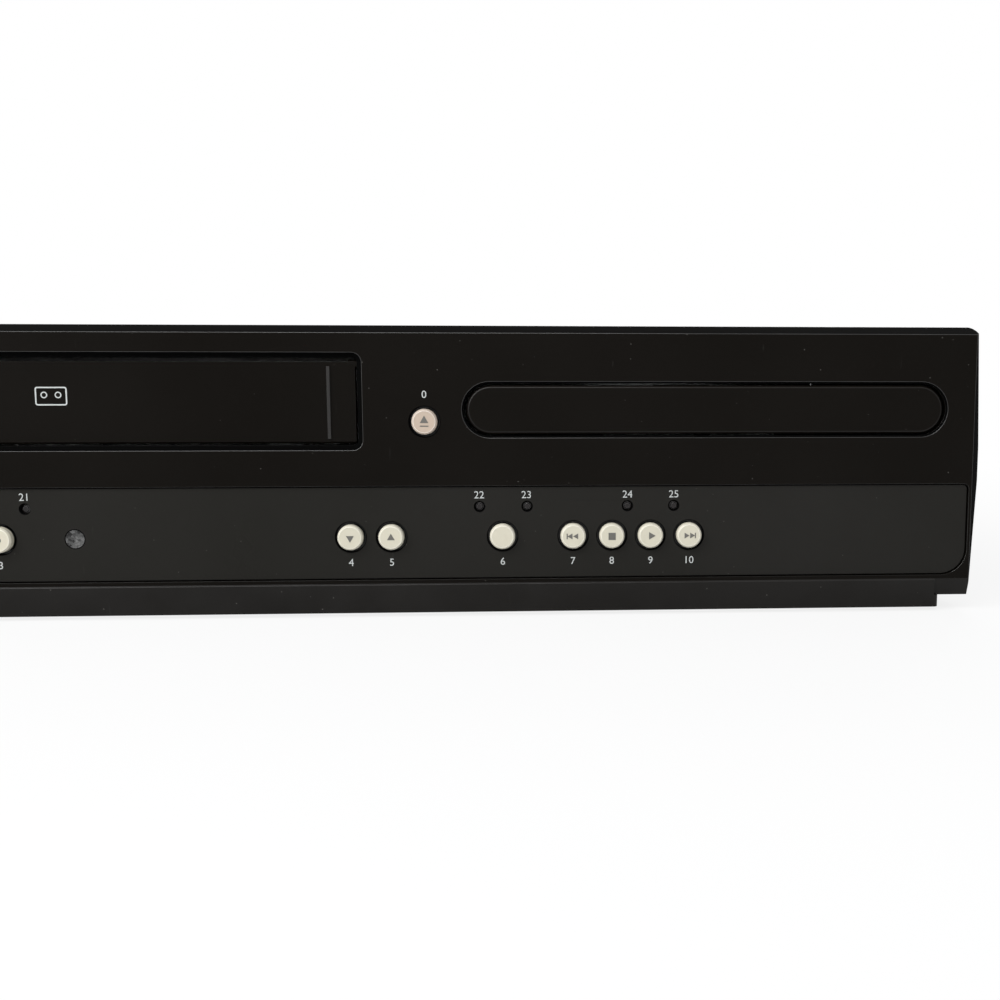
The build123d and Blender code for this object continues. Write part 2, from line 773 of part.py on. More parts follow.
tuner_low_x = aerial_xs[0] - 10
tuner_high_x = aerial_xs[1] + 10
tuner_inset = 49.5
tuner_front = rear_y - tuner_inset
tuner_top = 44.0
with BuildPart() as tuner:
    block((tuner_low_x, tuner_front, board_top), (tuner_high_x, pan_rear - sheet, tuner_top))
    aerials = [(x, aerial_z) for x in aerial_xs]
    with BuildSketch(upright(pan_rear - sheet)):
        with Locations(*aerials):
            Circle(aerial_radius)
    extrude(amount=-(depth / 2 - pan_rear + sheet))
    with BuildSketch(upright(pan_rear - sheet)):
        with Locations(*aerials):
            Circle(aerial_radius + collar_step)
    extrude(amount=-(rear_y + collar_proud - pan_rear + sheet))
    with BuildSketch(upright(depth / 2 - socket_reach)):
        with Locations(*aerials):
            Circle(aerial_bore)
    extrude(amount=-socket_reach, mode=Mode.SUBTRACT)
tuner.part.label = "tuner"
export_step(tuner.part, "parts/tuner.step")

socket_block_depth = 14.0
jack_short = 0.5  # the phono shells end this far before the aerial sockets
socket_block_top = socket_low_z + socket_pitch_z + 8
socket_block_high_x = disc_socket_x + 8
with BuildPart() as rear_sockets:
    block(
        (socket_block_low_x, pan_rear - sheet - socket_block_depth, board_top),
        (socket_block_high_x, pan_rear - sheet, socket_block_top),
    )
    with BuildSketch(upright(pan_rear - sheet)):
        with Locations(*sockets):
            Circle(jack_radius)
    extrude(amount=-(depth / 2 - jack_short - pan_rear + sheet))
    with BuildSketch(upright(pan_rear - sheet)):
        with Locations(*sockets):
            Circle(jack_radius + collar_step)
    extrude(amount=-(rear_y + collar_proud - pan_rear + sheet))
    with BuildSketch(upright(rear_y)):
        with Locations(*sockets):
            Circle(jack_bore)
    extrude(amount=-socket_reach, mode=Mode.SUBTRACT)
    with BuildSketch(upright(pan_rear - sheet)):
        with Locations((disc_socket_x, socket_low_z + socket_pitch_z / 2)):
            Circle(disc_socket_radius)
    extrude(amount=-3 * sheet)
rear_sockets.part.label = "rear_sockets"
export_step(rear_sockets.part, "parts/rear_sockets.step")

gland_flange = 8.0
gland_neck = 3.0
with BuildPart() as cord_gland:
    with BuildSketch(upright(rear_y)):
        with Locations((gland_x, gland_z)):
            Circle(gland_flange)
    extrude(amount=-2 * sheet)
    with BuildSketch(upright(rear_y)):
        with Locations((gland_x, gland_z)):
            Circle(gland_radius - shaft_fit)
    extrude(amount=gland_neck)
    with BuildSketch(upright(rear_y + 2 * sheet)):
        with Locations((gland_x, gland_z)):
            Circle(cord_radius)
    extrude(amount=gland_neck + 2 * sheet, mode=Mode.SUBTRACT)
cord_gland.part.label = "cord_gland"
export_step(cord_gland.part, "parts/cord_gland.step")

# Tape deck: steel chassis on the pan's posts, with two side walls that guide the cassette slider
deck_sheet = 1.5
deck_top = deck_z + deck_sheet
deck_wall = 1.0
deck_wall_top = 91.0
deck_wall_inset = 2.0
deck_wall_front = deck_front + deck_wall_inset
deck_wall_rear = 30.0
load_in = 22.0  # the cassette slides in by this
load_down = 21.0  # and then drops onto the reel spindles by this
stud_radius = 1.5
stud_gap = 0.4
slider_stud_ys = (-70.0, -6.0)
slider_stud_z = 48.0
carriage_pin_ys = (-60.0, -18.0)
carriage_pin_z = 80.0

drum_y = 62.0
drum_radius = 31.0
drum_tilt = 5.5
drum_low = 4.0
drum_split = 19.6
drum_top = 35.0
drum_shaft = 3.0
drum_hub = 12.0
drum_hub_height = 3.0
head_notch_depth = 3.0
head_notch_width = 6.0
drum_base = 20.0
drum_axis = (-sin(radians(drum_tilt)), 0, cos(radians(drum_tilt)))

capstan_inset = 23.7  # capstan and arm post from the right edge of the deck
arm_inset = 6.7
capstan_x = deck_x + deck_half - capstan_inset
capstan_y = 34.0
capstan_radius = 1.5
capstan_top = 62.0
flywheel_radius = 21.0
flywheel_low = 19.0
flywheel_thickness = 6.0
bearing_radius = 4.5
bearing_flange = 9.0

arm_x = deck_x + deck_half - arm_inset
arm_y = 56.0
arm_post = 2.0
arm_swing = 16.0
arm_low = 40.0
arm_thickness = 4.0
arm_hub = 4.5
roller_radius = 6.5
bearing_top = arm_low - 2 * play
roller_height = 12.0

reel_spacing = 82.6
reel_y = -14.0
reel_post = 2.0
reel_disc = 16.0
reel_column = 8.0
reel_low = deck_top + play
reel_disc_thickness = 5.0
reel_top = 51.0
fin_length = 11.5
fin_width = 2.4

guide_start = (32.0, 14.0)
guide_end = (44.0, 62.0)
guide_post = 2.5
guide_cap = 3.5
guide_base_width = 12.0
guide_base_depth = 9.0
guide_base_height = 4.0
guide_top = 60.0
guide_slot = 2 * (stud_radius + stud_gap)


guide_middle = ((guide_start[0] + guide_end[0]) / 2, (guide_start[1] + guide_end[1]) / 2)
guide_travel = hypot(guide_end[0] - guide_start[0], guide_end[1] - guide_start[1])
guide_lean = degrees(atan2(guide_end[0] - guide_start[0], guide_end[1] - guide_start[1]))


def drum_level(distance):
    """Plane square to the tilted drum, at a distance along its axis above the deck."""
    origin = [start + distance * part for start, part in zip((deck_x, drum_y, deck_top), drum_axis)]
    return Plane(origin=tuple(origin), x_dir=(0, 1, 0), z_dir=drum_axis)


window_half = 14.0
window_y = -55.0
with BuildPart() as deck_chassis:
    block((deck_x - deck_half, deck_front, deck_z), (deck_x + deck_half, deck_rear, deck_top))
    for side in (-1, 1):
        low_x, high_x = sorted((deck_x + side * deck_half, deck_x + side * (deck_half - deck_wall)))
        block((low_x, deck_wall_front, deck_top), (high_x, deck_wall_rear, deck_wall_top))
    with BuildSketch(sideways(deck_x - deck_half)):
        for stud_y in slider_stud_ys:
            with Locations((stud_y + load_in / 2, slider_stud_z)):
                SlotOverall(load_in + guide_slot, guide_slot)
    extrude(amount=2 * deck_half, mode=Mode.SUBTRACT)
    with BuildSketch(level(deck_z)):
        for side in (-1, 1):
            with Locations((deck_x + side * guide_middle[0], guide_middle[1])):
                SlotCenterToCenter(guide_travel, guide_slot, rotation=90 - side * guide_lean)
        with Locations((capstan_x, capstan_y)):
            Circle(bearing_radius + play)
        for side in (-1, 1):
            with Locations((deck_x + side * reel_spacing / 2, window_y)):
                Rectangle(2 * window_half, window_half)
    extrude(amount=deck_sheet, mode=Mode.SUBTRACT)
    for side in (-1, 1):
        rod(deck_x + side * reel_spacing / 2, reel_y, deck_top, reel_top + sheet, reel_post)
    rod(arm_x, arm_y, deck_top, arm_low + arm_thickness + sheet, arm_post)
deck_chassis.part.label = "deck_chassis"
export_step(deck_chassis.part, "parts/deck_chassis.step")

# Head drum: fixed lower half on its base, and the turning upper half on a shaft, both tilted
with BuildPart() as lower_drum:
    rod(deck_x, drum_y, deck_top, deck_top + 2 * drum_low, drum_base)
    with BuildSketch(drum_level(drum_low)):
        Circle(drum_radius)
    extrude(amount=drum_split - drum_low)
    with BuildSketch(drum_level(drum_split)):
        Circle(drum_shaft)
    extrude(amount=drum_top - drum_split + 2)
lower_drum.part.label = "lower_drum"
export_step(lower_drum.part, "parts/lower_drum.step")

with BuildPart() as upper_drum:
    with BuildSketch(drum_level(drum_split + 2 * play)):
        Circle(drum_radius)
    extrude(amount=drum_top - drum_hub_height - drum_split - 2 * play)
    with BuildSketch(drum_level(drum_top - drum_hub_height)):
        Circle(drum_hub)
    extrude(amount=drum_hub_height)
    with BuildSketch(drum_level(drum_split)):
        Circle(drum_shaft + shaft_fit)
    extrude(amount=drum_top, mode=Mode.SUBTRACT)
    with BuildSketch(drum_level(drum_split)):
        with PolarLocations(drum_radius, 2):
            Rectangle(head_notch_depth, head_notch_width)
    extrude(amount=head_notch_depth, mode=Mode.SUBTRACT)
upper_drum.part.label = "upper_drum"
export_step(upper_drum.part, "parts/upper_drum.step")

# Capstan with its flywheel, in a bearing under the deck
with BuildPart() as capstan:
    rod(capstan_x, capstan_y, flywheel_low, capstan_top, capstan_radius)
    rod(capstan_x, capstan_y, flywheel_low, flywheel_low + flywheel_thickness, flywheel_radius)
capstan.part.label = "capstan"
export_step(capstan.part, "parts/capstan.step")

with BuildPart() as capstan_bearing:
    rod(capstan_x, capstan_y, flywheel_low + flywheel_thickness + play, bearing_top, bearing_radius)
    rod(capstan_x, capstan_y, deck_z - 2, deck_z, bearing_flange)
    rod(capstan_x, capstan_y, flywheel_low, bearing_top, capstan_radius + shaft_fit, mode=Mode.SUBTRACT)
capstan_bearing.part.label = "capstan_bearing"
export_step(capstan_bearing.part, "parts/capstan_bearing.step")

# Pinch roller on its swinging arm. Swung in by arm_swing, the roller stands just off the capstan.
roller_reach = capstan_radius + roller_radius + play
closed_angle = degrees(atan2(capstan_y + roller_reach - arm_y, capstan_x - arm_x))
rest_angle = closed_angle - arm_swing
arm_reach = hypot(capstan_y + roller_reach - arm_y, capstan_x - arm_x)
roller_x = arm_x + arm_reach * cos(radians(rest_angle))
roller_y = arm_y + arm_reach * sin(radians(rest_angle))
roller_low = arm_low + arm_thickness + play

with BuildPart() as pinch_arm:
    with BuildSketch(level(arm_low)):
        with Locations(((arm_x + roller_x) / 2, (arm_y + roller_y) / 2)):
            SlotCenterToCenter(arm_reach, 2 * arm_hub, rotation=rest_angle)
        with Locations((arm_x, arm_y)):
            Circle(arm_post + shaft_fit, mode=Mode.SUBTRACT)
    extrude(amount=arm_thickness)
    rod(roller_x, roller_y, arm_low, roller_low + roller_height + sheet, stud_radius)
pinch_arm.part.label = "pinch_arm"
export_step(pinch_arm.part, "parts/pinch_arm.step")

with BuildPart() as pinch_roller:
    rod(roller_x, roller_y, roller_low, roller_low + roller_height, roller_radius)
    roller_bore = stud_radius + shaft_fit
    rod(roller_x, roller_y, roller_low, roller_low + roller_height, roller_bore, mode=Mode.SUBTRACT)
pinch_roller.part.label = "pinch_roller"
export_step(pinch_roller.part, "parts/pinch_roller.step")


def make_reel(x):
    """Reel spindle: toothed-wheel disc, column and six driving fins, on a fixed post."""
    with BuildPart() as reel:
        rod(x, reel_y, reel_low, reel_low + reel_disc_thickness, reel_disc)
        rod(x, reel_y, reel_low, reel_top, reel_column)
        with BuildSketch(level(reel_low)):
            with Locations((x, reel_y)):
                with PolarLocations(0, 3, angular_range=180):
                    Rectangle(2 * fin_length, fin_width)
        extrude(amount=reel_top - reel_low - reel_disc_thickness)
        rod(x, reel_y, reel_low, reel_top, reel_post + shaft_fit, mode=Mode.SUBTRACT)
    return reel.part


for reel_name, reel_side in (("supply_reel", -1), ("take_up_reel", 1)):
    reel_part = make_reel(deck_x + reel_side * reel_spacing / 2)
    reel_part.label = reel_name
    export_step(reel_part, f"parts/{reel_name}.step")


def make_tape_guide(x, y):
    """Tape guide: foot in its slot, base block, post and cap."""
    base_low = deck_top + play
    base_top = base_low + guide_base_height
    with BuildPart() as guide:
        with BuildSketch(level(base_low)):
            with Locations((x, y)):
                Rectangle(guide_base_width, guide_base_depth)
        extrude(amount=guide_base_height)
        rod(x, y, deck_z, base_low, stud_radius)
        rod(x, y, base_top, guide_top, guide_post)
        rod(x, y, guide_top, guide_top + 2, guide_cap)
    return guide.part


for guide_name, guide_side in (("left_tape_guide", -1), ("right_tape_guide", 1)):
    guide_part = make_tape_guide(deck_x + guide_side * guide_start[0], guide_start[1])
    guide_part.label = guide_name
    export_step(guide_part, f"parts/{guide_name}.step")

head_width = 9.0
head_depth = 10.0
head_top = 56.0
head_y = 34.0
head_offset_left = -68.0
head_capstan_gap = 18.3  # control head from the capstan
head_offsets = (head_offset_left, capstan_x - deck_x - head_capstan_gap)
with BuildPart() as tape_heads:
    for head_offset in head_offsets:
        head_low = (deck_x + head_offset - head_width / 2, head_y - head_depth / 2, deck_top)
        head_high = (deck_x + head_offset + head_width / 2, head_y + head_depth / 2, head_top)
        block(head_low, head_high)
        rod(deck_x + head_offset, head_y + head_depth / 2, deck_top, head_top, head_width / 2)
tape_heads.part.label = "tape_heads"
export_step(tape_heads.part, "parts/tape_heads.step")

deck_motor_inset = 19.0
deck_motor_x = deck_x - deck_half + deck_motor_inset
deck_motor_y = 74.0
deck_motor_radius = 12.0
deck_motor_top = 62.0
with BuildPart() as deck_motor:
    rod(deck_motor_x, deck_motor_y, deck_top, deck_motor_top, deck_motor_radius)
    rod(deck_motor_x, deck_motor_y, deck_motor_top, deck_motor_top + 2, 2 * stud_radius)
deck_motor.part.label = "deck_motor"
export_step(deck_motor.part, "parts/deck_motor.step")

# Cassette slider between the deck walls, and the carriage that it carries
slider_sheet = 1.0
slider_outer = deck_half - deck_wall - stud_gap
slider_inner = slider_outer - slider_sheet
carriage_outer = slider_inner - 2 * play
carriage_inner = carriage_outer - slider_sheet
carriage_front = deck_wall_front + deck_wall_inset
carriage_rear = 4.0
carriage_floor = 57.6
carriage_top = 86.6
carriage_ledge = 25.0
carriage_lip = 12.0
carriage_plate_rear = -56.0
slider_low = 38.0
slider_top = 90.0
bridge_front = -20.0
bridge_rear = -8.0
bridge_thickness = 1.5 * slider_sheet

with BuildPart() as cassette_slider:
    for side in (-1, 1):
        low_x, high_x = sorted((deck_x + side * slider_outer, deck_x + side * slider_inner))
        block((low_x, deck_wall_front + 2, slider_low), (high_x, carriage_rear, slider_top))
    block(
        (deck_x - slider_outer, bridge_front, slider_top - bridge_thickness),
        (deck_x + slider_outer, bridge_rear, slider_top),
    )
    with BuildSketch(sideways(deck_x - slider_outer)):
        for pin_y in carriage_pin_ys:
            with Locations((pin_y, carriage_pin_z - load_down / 2)):
                SlotOverall(load_down + guide_slot, guide_slot, rotation=90)
    extrude(amount=2 * slider_outer, mode=Mode.SUBTRACT)
    for side in (-1, 1):
        low_x, high_x = sorted((deck_x + side * slider_outer, deck_x + side * deck_half))
        with BuildSketch(sideways(low_x)):
            with Locations(*[(stud_y, slider_stud_z) for stud_y in slider_stud_ys]):
                Circle(stud_radius)
        extrude(amount=high_x - low_x)
cassette_slider.part.label = "cassette_slider"
export_step(cassette_slider.part, "parts/cassette_slider.step")

with BuildPart() as cassette_carriage:
    block(
        (deck_x - carriage_outer, carriage_front, carriage_floor),
        (deck_x + carriage_outer, carriage_plate_rear, carriage_floor + slider_sheet),
    )
    for side in (-1, 1):
        outer_x = deck_x + side * carriage_outer
        wall_x = sorted((outer_x, deck_x + side * carriage_inner))
        ledge_x = sorted((outer_x, outer_x - side * carriage_ledge))
        lip_x = sorted((outer_x, outer_x - side * carriage_lip))
        block((wall_x[0], carriage_front, carriage_floor), (wall_x[1], carriage_rear, carriage_top))
        block(
            (ledge_x[0], carriage_front, carriage_floor),
            (ledge_x[1], carriage_rear, carriage_floor + slider_sheet),
        )
        block(
            (lip_x[0], carriage_front, carriage_top - slider_sheet),
            (lip_x[1], carriage_rear, carriage_top),
        )
        pin_x = sorted((outer_x, deck_x + side * slider_outer))
        with BuildSketch(sideways(pin_x[0])):
            with Locations(*[(pin_y, carriage_pin_z) for pin_y in carriage_pin_ys]):
                Circle(stud_radius)
        extrude(amount=pin_x[1] - pin_x[0])
cassette_carriage.part.label = "cassette_carriage"
export_step(cassette_carriage.part, "parts/cassette_carriage.step")

# Disc tray: plate with a disc recess, a slot open to the rear, side runners and a rack underneath
tray_travel = 138.0
tray_back = front_y + tray_front_recess + tray_front_thickness
tray_rear = 68.0
tray_half = 61.5
runner_half = 64.5
runner_low = 66.8
runner_top = 69.2
tray_top = 72.4
disc_floor = 69.0
disc_y = -47.0
disc_recess = 61.0
small_recess = 41.0
small_recess_depth = 0.8
slot_half = 19.0
tray_wall = 2.5
tray_wall_low = 64.0
tray_wall_high = 78.0
module = 1.0
pinion_teeth = 18
addendum = 0.9 * module
dedendum = 1.25 * module
tooth_half = 0.56 * module  # half a tooth at the pitch line, thinned for backlash
tooth_slope = tan(radians(20))
pitch = pi * module
pinion_pitch_radius = module * pinion_teeth / 2
rack_x = 68.0  # pitch line of the rack
rack_back = 5.0
rack_spare_teeth = 6
rack_low = 63.4
mesh_y = -80.0
pinion_x = rack_x + pinion_pitch_radius


def rack_outline():
    """Rack teeth facing +X along the stretch that passes the pinion, closed by the rack's back."""
    count = int(tray_travel / pitch) + rack_spare_teeth
    points = []
    for index in range(count):
        middle = mesh_y + (index - 2 + 0.5) * pitch
        root = tooth_half + dedendum * tooth_slope
        tip = tooth_half - addendum * tooth_slope
        points += [
            (rack_x - dedendum, middle - root),
            (rack_x + addendum, middle - tip),
            (rack_x + addendum, middle + tip),
            (rack_x - dedendum, middle + root),
        ]
    return points + [(rack_x - rack_back, points[-1][1]), (rack_x - rack_back, points[0][1])]


def pinion_outline():
    """Pinion teeth, one of them pointing at the rack."""
    root_radius = pinion_pitch_radius - dedendum
    tip_radius = pinion_pitch_radius + addendum
    points = []
    for index in range(pinion_teeth):
        middle = pi + index * 2 * pi / pinion_teeth
        for radius, half_width in (
            (root_radius, -tooth_half - dedendum * tooth_slope / 2),
            (tip_radius, -tooth_half + addendum * tooth_slope),
            (tip_radius, tooth_half - addendum * tooth_slope),
            (root_radius, tooth_half + dedendum * tooth_slope / 2),
        ):
            angle = middle + half_width / radius
            points.append((pinion_x + radius * cos(angle), mesh_y + radius * sin(angle)))
    return points


with BuildPart() as tray_front:
    with BuildSketch(upright(front_y + tray_front_recess)):
        with Locations((tray_x, tray_z)):
            SlotOverall(tray_opening_width - 2 * tray_gap - tray_bevel, tray_opening_height - 2 * tray_gap)
    extrude(amount=-tray_front_thickness)
    chamfer(tray_front.faces().sort_by(Axis.Y)[0].edges(), tray_bevel)
tray_front.part.label = "tray_front"
export_step(tray_front.part, "parts/tray_front.step")

with BuildPart() as disc_tray:
    block((tray_x - tray_half, tray_back, runner_low), (tray_x + tray_half, tray_rear, tray_top))
    tray_wall_rear = tray_back + tray_wall
    block((tray_x - runner_half, tray_wall_rear, runner_low), (tray_x + runner_half, tray_rear, runner_top))
    block(
        (tray_x - tray_half, tray_back, tray_wall_low),
        (tray_x + tray_half, tray_wall_rear, tray_wall_high),
    )
    rod(tray_x, disc_y, disc_floor, tray_top, disc_recess, mode=Mode.SUBTRACT)
    rod(tray_x, disc_y, disc_floor - small_recess_depth, disc_floor, small_recess, mode=Mode.SUBTRACT)
    rod(tray_x, disc_y, runner_low, disc_floor, slot_half, mode=Mode.SUBTRACT)
    block(
        (tray_x - slot_half, disc_y, runner_low),
        (tray_x + slot_half, tray_rear, tray_top),
        mode=Mode.SUBTRACT,
    )
    with BuildSketch(level(rack_low)):
        with BuildLine():
            Polyline(*rack_outline(), close=True)
        make_face()
    extrude(amount=runner_low - rack_low)
disc_tray.part.label = "disc_tray"
export_step(disc_tray.part, "parts/disc_tray.step")

# Loader frame: shallow box on legs, with C-shaped runners, an opening for the traverse and a pinion post
loader_floor = 54.0
loader_floor_top = 56.0
loader_wall = 2.2
loader_top = 75.6
guide_inner = 62.0
guide_side = runner_half + 2 * play
tab_length = 14.0
tab_ys = (-70.0, -5.0, 60.0)
traverse_half = 35.0
traverse_front = -62.0
traverse_pivot_y = 64.0
traverse_z = 59.5
traverse_thickness = 2.0
traverse_gap = 1.8
traverse_pivot_radius = 2.0
traverse_lug = 3.4
pulley_low = 58.6
pulley_radius = 12.0
pulley_thickness = 4.0
pulley_groove = 1.5
pinion_post = 2.0
motor_x = 125.0
motor_y = -77.0
motor_pulley_radius = 4.5
motor_radius = 10.5
motor_low = 32.0
motor_shaft = 1.0
loader_gap = 1.3 * play
loader_window_front = 6.0
loader_window_rear = 8.0
rail_drop = 4.0

with BuildPart() as loader_frame:
    low_x = tray_x - loader_half
    high_x = tray_x + loader_half
    block((low_x, loader_front, loader_floor), (high_x, loader_rear, loader_floor_top))
    block((low_x, loader_rear - loader_wall, loader_floor), (high_x, loader_rear, loader_top))
    for side in (-1, 1):
        outer_x = tray_x + side * loader_half
        inner_x = tray_x + side * (loader_half - loader_wall)
        wall_x = sorted((outer_x, inner_x))
        block((wall_x[0], loader_front, loader_floor), (wall_x[1], loader_rear, loader_top))
        rail_x = sorted((inner_x, tray_x + side * guide_side))
        block((rail_x[0], loader_front, rack_low + 1), (rail_x[1], loader_rear, loader_top - rail_drop))
        ledge_x = sorted((inner_x, tray_x + side * guide_inner))
        block((ledge_x[0], loader_front, rack_low + 1), (ledge_x[1], loader_rear, runner_low - play))
        for tab_y in tab_ys:
            block(
                (ledge_x[0], tab_y - tab_length / 2, runner_top + loader_gap),
                (ledge_x[1], tab_y + tab_length / 2, loader_top - rail_drop),
            )
        lug_start = traverse_half + traverse_gap
        lug_x = sorted((tray_x + side * lug_start, tray_x + side * (lug_start + traverse_lug)))
        pivot_height = traverse_z + traverse_thickness / 2
        block(
            (lug_x[0], traverse_pivot_y - traverse_lug, loader_floor),
            (lug_x[1], traverse_pivot_y + traverse_lug, pivot_height + traverse_lug),
        )
    block(
        (tray_x - traverse_half - traverse_gap, traverse_front - loader_window_front, loader_floor),
        (tray_x + traverse_half + traverse_gap, traverse_pivot_y + loader_window_rear, loader_floor_top),
        mode=Mode.SUBTRACT,
    )
    with BuildSketch(sideways(tray_x - traverse_half - traverse_gap - traverse_lug)):
        with Locations((traverse_pivot_y, pivot_height)):
            Circle(traverse_pivot_radius + shaft_fit)
    extrude(amount=2 * (traverse_half + traverse_gap + traverse_lug), mode=Mode.SUBTRACT)
    for leg in leg_spots:
        rod(*leg, floor_top, loader_floor, leg_radius)
    rod(pinion_x, mesh_y, loader_floor_top, pulley_low - play, 2 * pinion_post)
    rod(pinion_x, mesh_y, loader_floor_top, runner_low - 2 * play, pinion_post)
    rod(motor_x, motor_y, loader_floor, loader_floor_top, 2 * motor_shaft, mode=Mode.SUBTRACT)
loader_frame.part.label = "loader_frame"
export_step(loader_frame.part, "parts/loader_frame.step")


def make_pulley(x, y, radius):
    """Grooved belt pulley as three stacked discs."""
    rim = pulley_thickness / 4
    rod(x, y, pulley_low, pulley_low + rim, radius)
    rod(x, y, pulley_low + rim, pulley_low + 3 * rim, radius - pulley_groove)
    rod(x, y, pulley_low + 3 * rim, pulley_low + pulley_thickness, radius)


pinion_top = runner_low - loader_gap
with BuildPart() as tray_pinion:
    make_pulley(pinion_x, mesh_y, pulley_radius)
    with BuildSketch(level(pulley_low + pulley_thickness)):
        with BuildLine():
            Polyline(*pinion_outline(), close=True)
        make_face()
    extrude(amount=pinion_top - pulley_low - pulley_thickness)
    rod(pinion_x, mesh_y, pulley_low, pinion_top, pinion_post + shaft_fit, mode=Mode.SUBTRACT)
tray_pinion.part.label = "tray_pinion"
export_step(tray_pinion.part, "parts/tray_pinion.step")

with BuildPart() as motor_pulley:
    make_pulley(motor_x, motor_y, motor_pulley_radius)
    motor_bore = motor_shaft + shaft_fit
    rod(motor_x, motor_y, pulley_low, pulley_low + pulley_thickness, motor_bore, mode=Mode.SUBTRACT)
motor_pulley.part.label = "motor_pulley"
export_step(motor_pulley.part, "parts/motor_pulley.step")

with BuildPart() as loading_motor:
    rod(motor_x, motor_y, motor_low, loader_floor, motor_radius)
    rod(motor_x, motor_y, loader_floor, pulley_low + pulley_thickness + play, motor_shaft)
loading_motor.part.label = "loading_motor"
export_step(loading_motor.part, "parts/loading_motor.step")

# Traverse: plate that tilts at the rear, with spindle motor, turntable, guide rods, sled and feed screw
traverse_top = traverse_z + traverse_thickness
rod_offset = 24.0
rod_radius = 1.5
rod_z = 63.2
rod_front = -40.0
rod_rear = 52.0
holder = 4.0
screw_offset = 30.5
sled_front = -33.0
sled_length = 22.0
sled_top = runner_low - 2 * play
spindle_radius = 10.0
spindle_shaft = 1.25
spindle_top = 66.8
turntable_radius = 15.0
turntable_low = 67.2
turntable_top = disc_floor + 2 * play
hub_radius = 7.3
hub_top = 71.8
feed_motor = 9.0
window_margin = 5.0

with BuildPart() as traverse_plate:
    block(
        (tray_x - traverse_half, traverse_front, traverse_z),
        (tray_x + traverse_half, traverse_pivot_y + traverse_lug, traverse_top),
    )
    block(
        (tray_x - rod_offset + window_margin, sled_front, traverse_z),
        (tray_x + rod_offset - window_margin, rod_rear - window_margin, traverse_top),
        mode=Mode.SUBTRACT,
    )
    for bar_y in (rod_front, rod_rear):
        for side in (-1, 1):
            bar_end = screw_offset + rod_radius + 1
            bar_x = sorted((tray_x + side * (rod_offset - holder), tray_x + side * bar_end))
            block((bar_x[0], bar_y, traverse_top), (bar_x[1], bar_y + holder, rod_z + 2 * rod_radius))
    with BuildSketch(upright(rod_front)):
        for offset_x in (-rod_offset, rod_offset):
            with Locations((tray_x + offset_x, rod_z)):
                Circle(rod_radius)
        with Locations((tray_x - screw_offset, rod_z)):
            Circle(rod_radius + shaft_fit)
    extrude(amount=-(rod_rear - rod_front + holder), mode=Mode.SUBTRACT)
    for side in (-1, 1):
        pin_end = traverse_half + traverse_gap + traverse_lug
        pin_x = sorted((tray_x + side * traverse_half, tray_x + side * pin_end))
        with BuildSketch(sideways(pin_x[0])):
            with Locations((traverse_pivot_y, pivot_height)):
                Circle(traverse_pivot_radius)
        extrude(amount=pin_x[1] - pin_x[0])
traverse_plate.part.label = "traverse_plate"
export_step(traverse_plate.part, "parts/traverse_plate.step")

with BuildPart() as guide_rods:
    with BuildSketch(upright(rod_front)):
        for offset_x in (-rod_offset, rod_offset):
            with Locations((tray_x + offset_x, rod_z)):
                Circle(rod_radius)
    extrude(amount=-(rod_rear - rod_front + holder))
guide_rods.part.label = "guide_rods"
export_step(guide_rods.part, "parts/guide_rods.step")

with BuildPart() as feed_screw:
    with BuildSketch(upright(rod_front)):
        with Locations((tray_x - screw_offset, rod_z)):
            Circle(rod_radius)
    extrude(amount=-(rod_rear - rod_front + holder))
feed_screw.part.label = "feed_screw"
export_step(feed_screw.part, "parts/feed_screw.step")

with BuildPart() as traverse_motors:
    rod(tray_x, disc_y, traverse_top, spindle_top, spindle_radius)
    rod(tray_x, disc_y, spindle_top, hub_top - play, spindle_shaft)
    feed_y = rod_rear + holder
    block(
        (tray_x - screw_offset - feed_motor / 2, feed_y + play, traverse_top),
        (tray_x - screw_offset + feed_motor / 2, feed_y + feed_motor, rod_z + 2 * rod_radius),
    )
traverse_motors.part.label = "traverse_motors"
export_step(traverse_motors.part, "parts/traverse_motors.step")

with BuildPart() as turntable:
    rod(tray_x, disc_y, turntable_low, turntable_top, turntable_radius)
    rod(tray_x, disc_y, turntable_top, hub_top, hub_radius)
    rod(tray_x, disc_y, turntable_low, hub_top, spindle_shaft + shaft_fit, mode=Mode.SUBTRACT)
turntable.part.label = "turntable"
export_step(turntable.part, "parts/turntable.step")

lens_radius = 4.0
lens_height = 1.5
nut_inset = 4.0
sled_half = rod_offset + rod_radius + 2
with BuildPart() as pickup_sled:
    block(
        (tray_x - sled_half, sled_front, traverse_top + play),
        (tray_x + sled_half, sled_front + sled_length, sled_top),
    )
    block(
        (tray_x - screw_offset - rod_radius, sled_front + nut_inset, rod_z + rod_radius + play),
        (tray_x - sled_half, sled_front + sled_length - nut_inset, sled_top),
    )
    rod(tray_x, sled_front + sled_length / 2, sled_top, sled_top + lens_height, lens_radius)
    with BuildSketch(upright(sled_front)):
        for offset_x in (-rod_offset, rod_offset):
            with Locations((tray_x + offset_x, rod_z)):
                Circle(rod_radius + shaft_fit)
    extrude(amount=-sled_length, mode=Mode.SUBTRACT)
pickup_sled.part.label = "pickup_sled"
export_step(pickup_sled.part, "parts/pickup_sled.step")

# Clamp over the disc: steel bridge on the loader's walls, and a loose puck in its hole
bridge_half = 16.0
bridge_sheet = 1.5
clamp_neck = 8.6
clamp_low = 72.9
clamp_radius = 13.5
clamp_collar = 11.5
with BuildPart() as clamp_bridge:
    block(
        (tray_x - loader_half, disc_y - bridge_half, loader_top),
        (tray_x + loader_half, disc_y + bridge_half, loader_top + bridge_sheet),
    )
    bridge_top = loader_top + bridge_sheet
    rod(tray_x, disc_y, loader_top, bridge_top, clamp_neck + loader_gap, mode=Mode.SUBTRACT)
clamp_bridge.part.label = "clamp_bridge"
export_step(clamp_bridge.part, "parts/clamp_bridge.step")

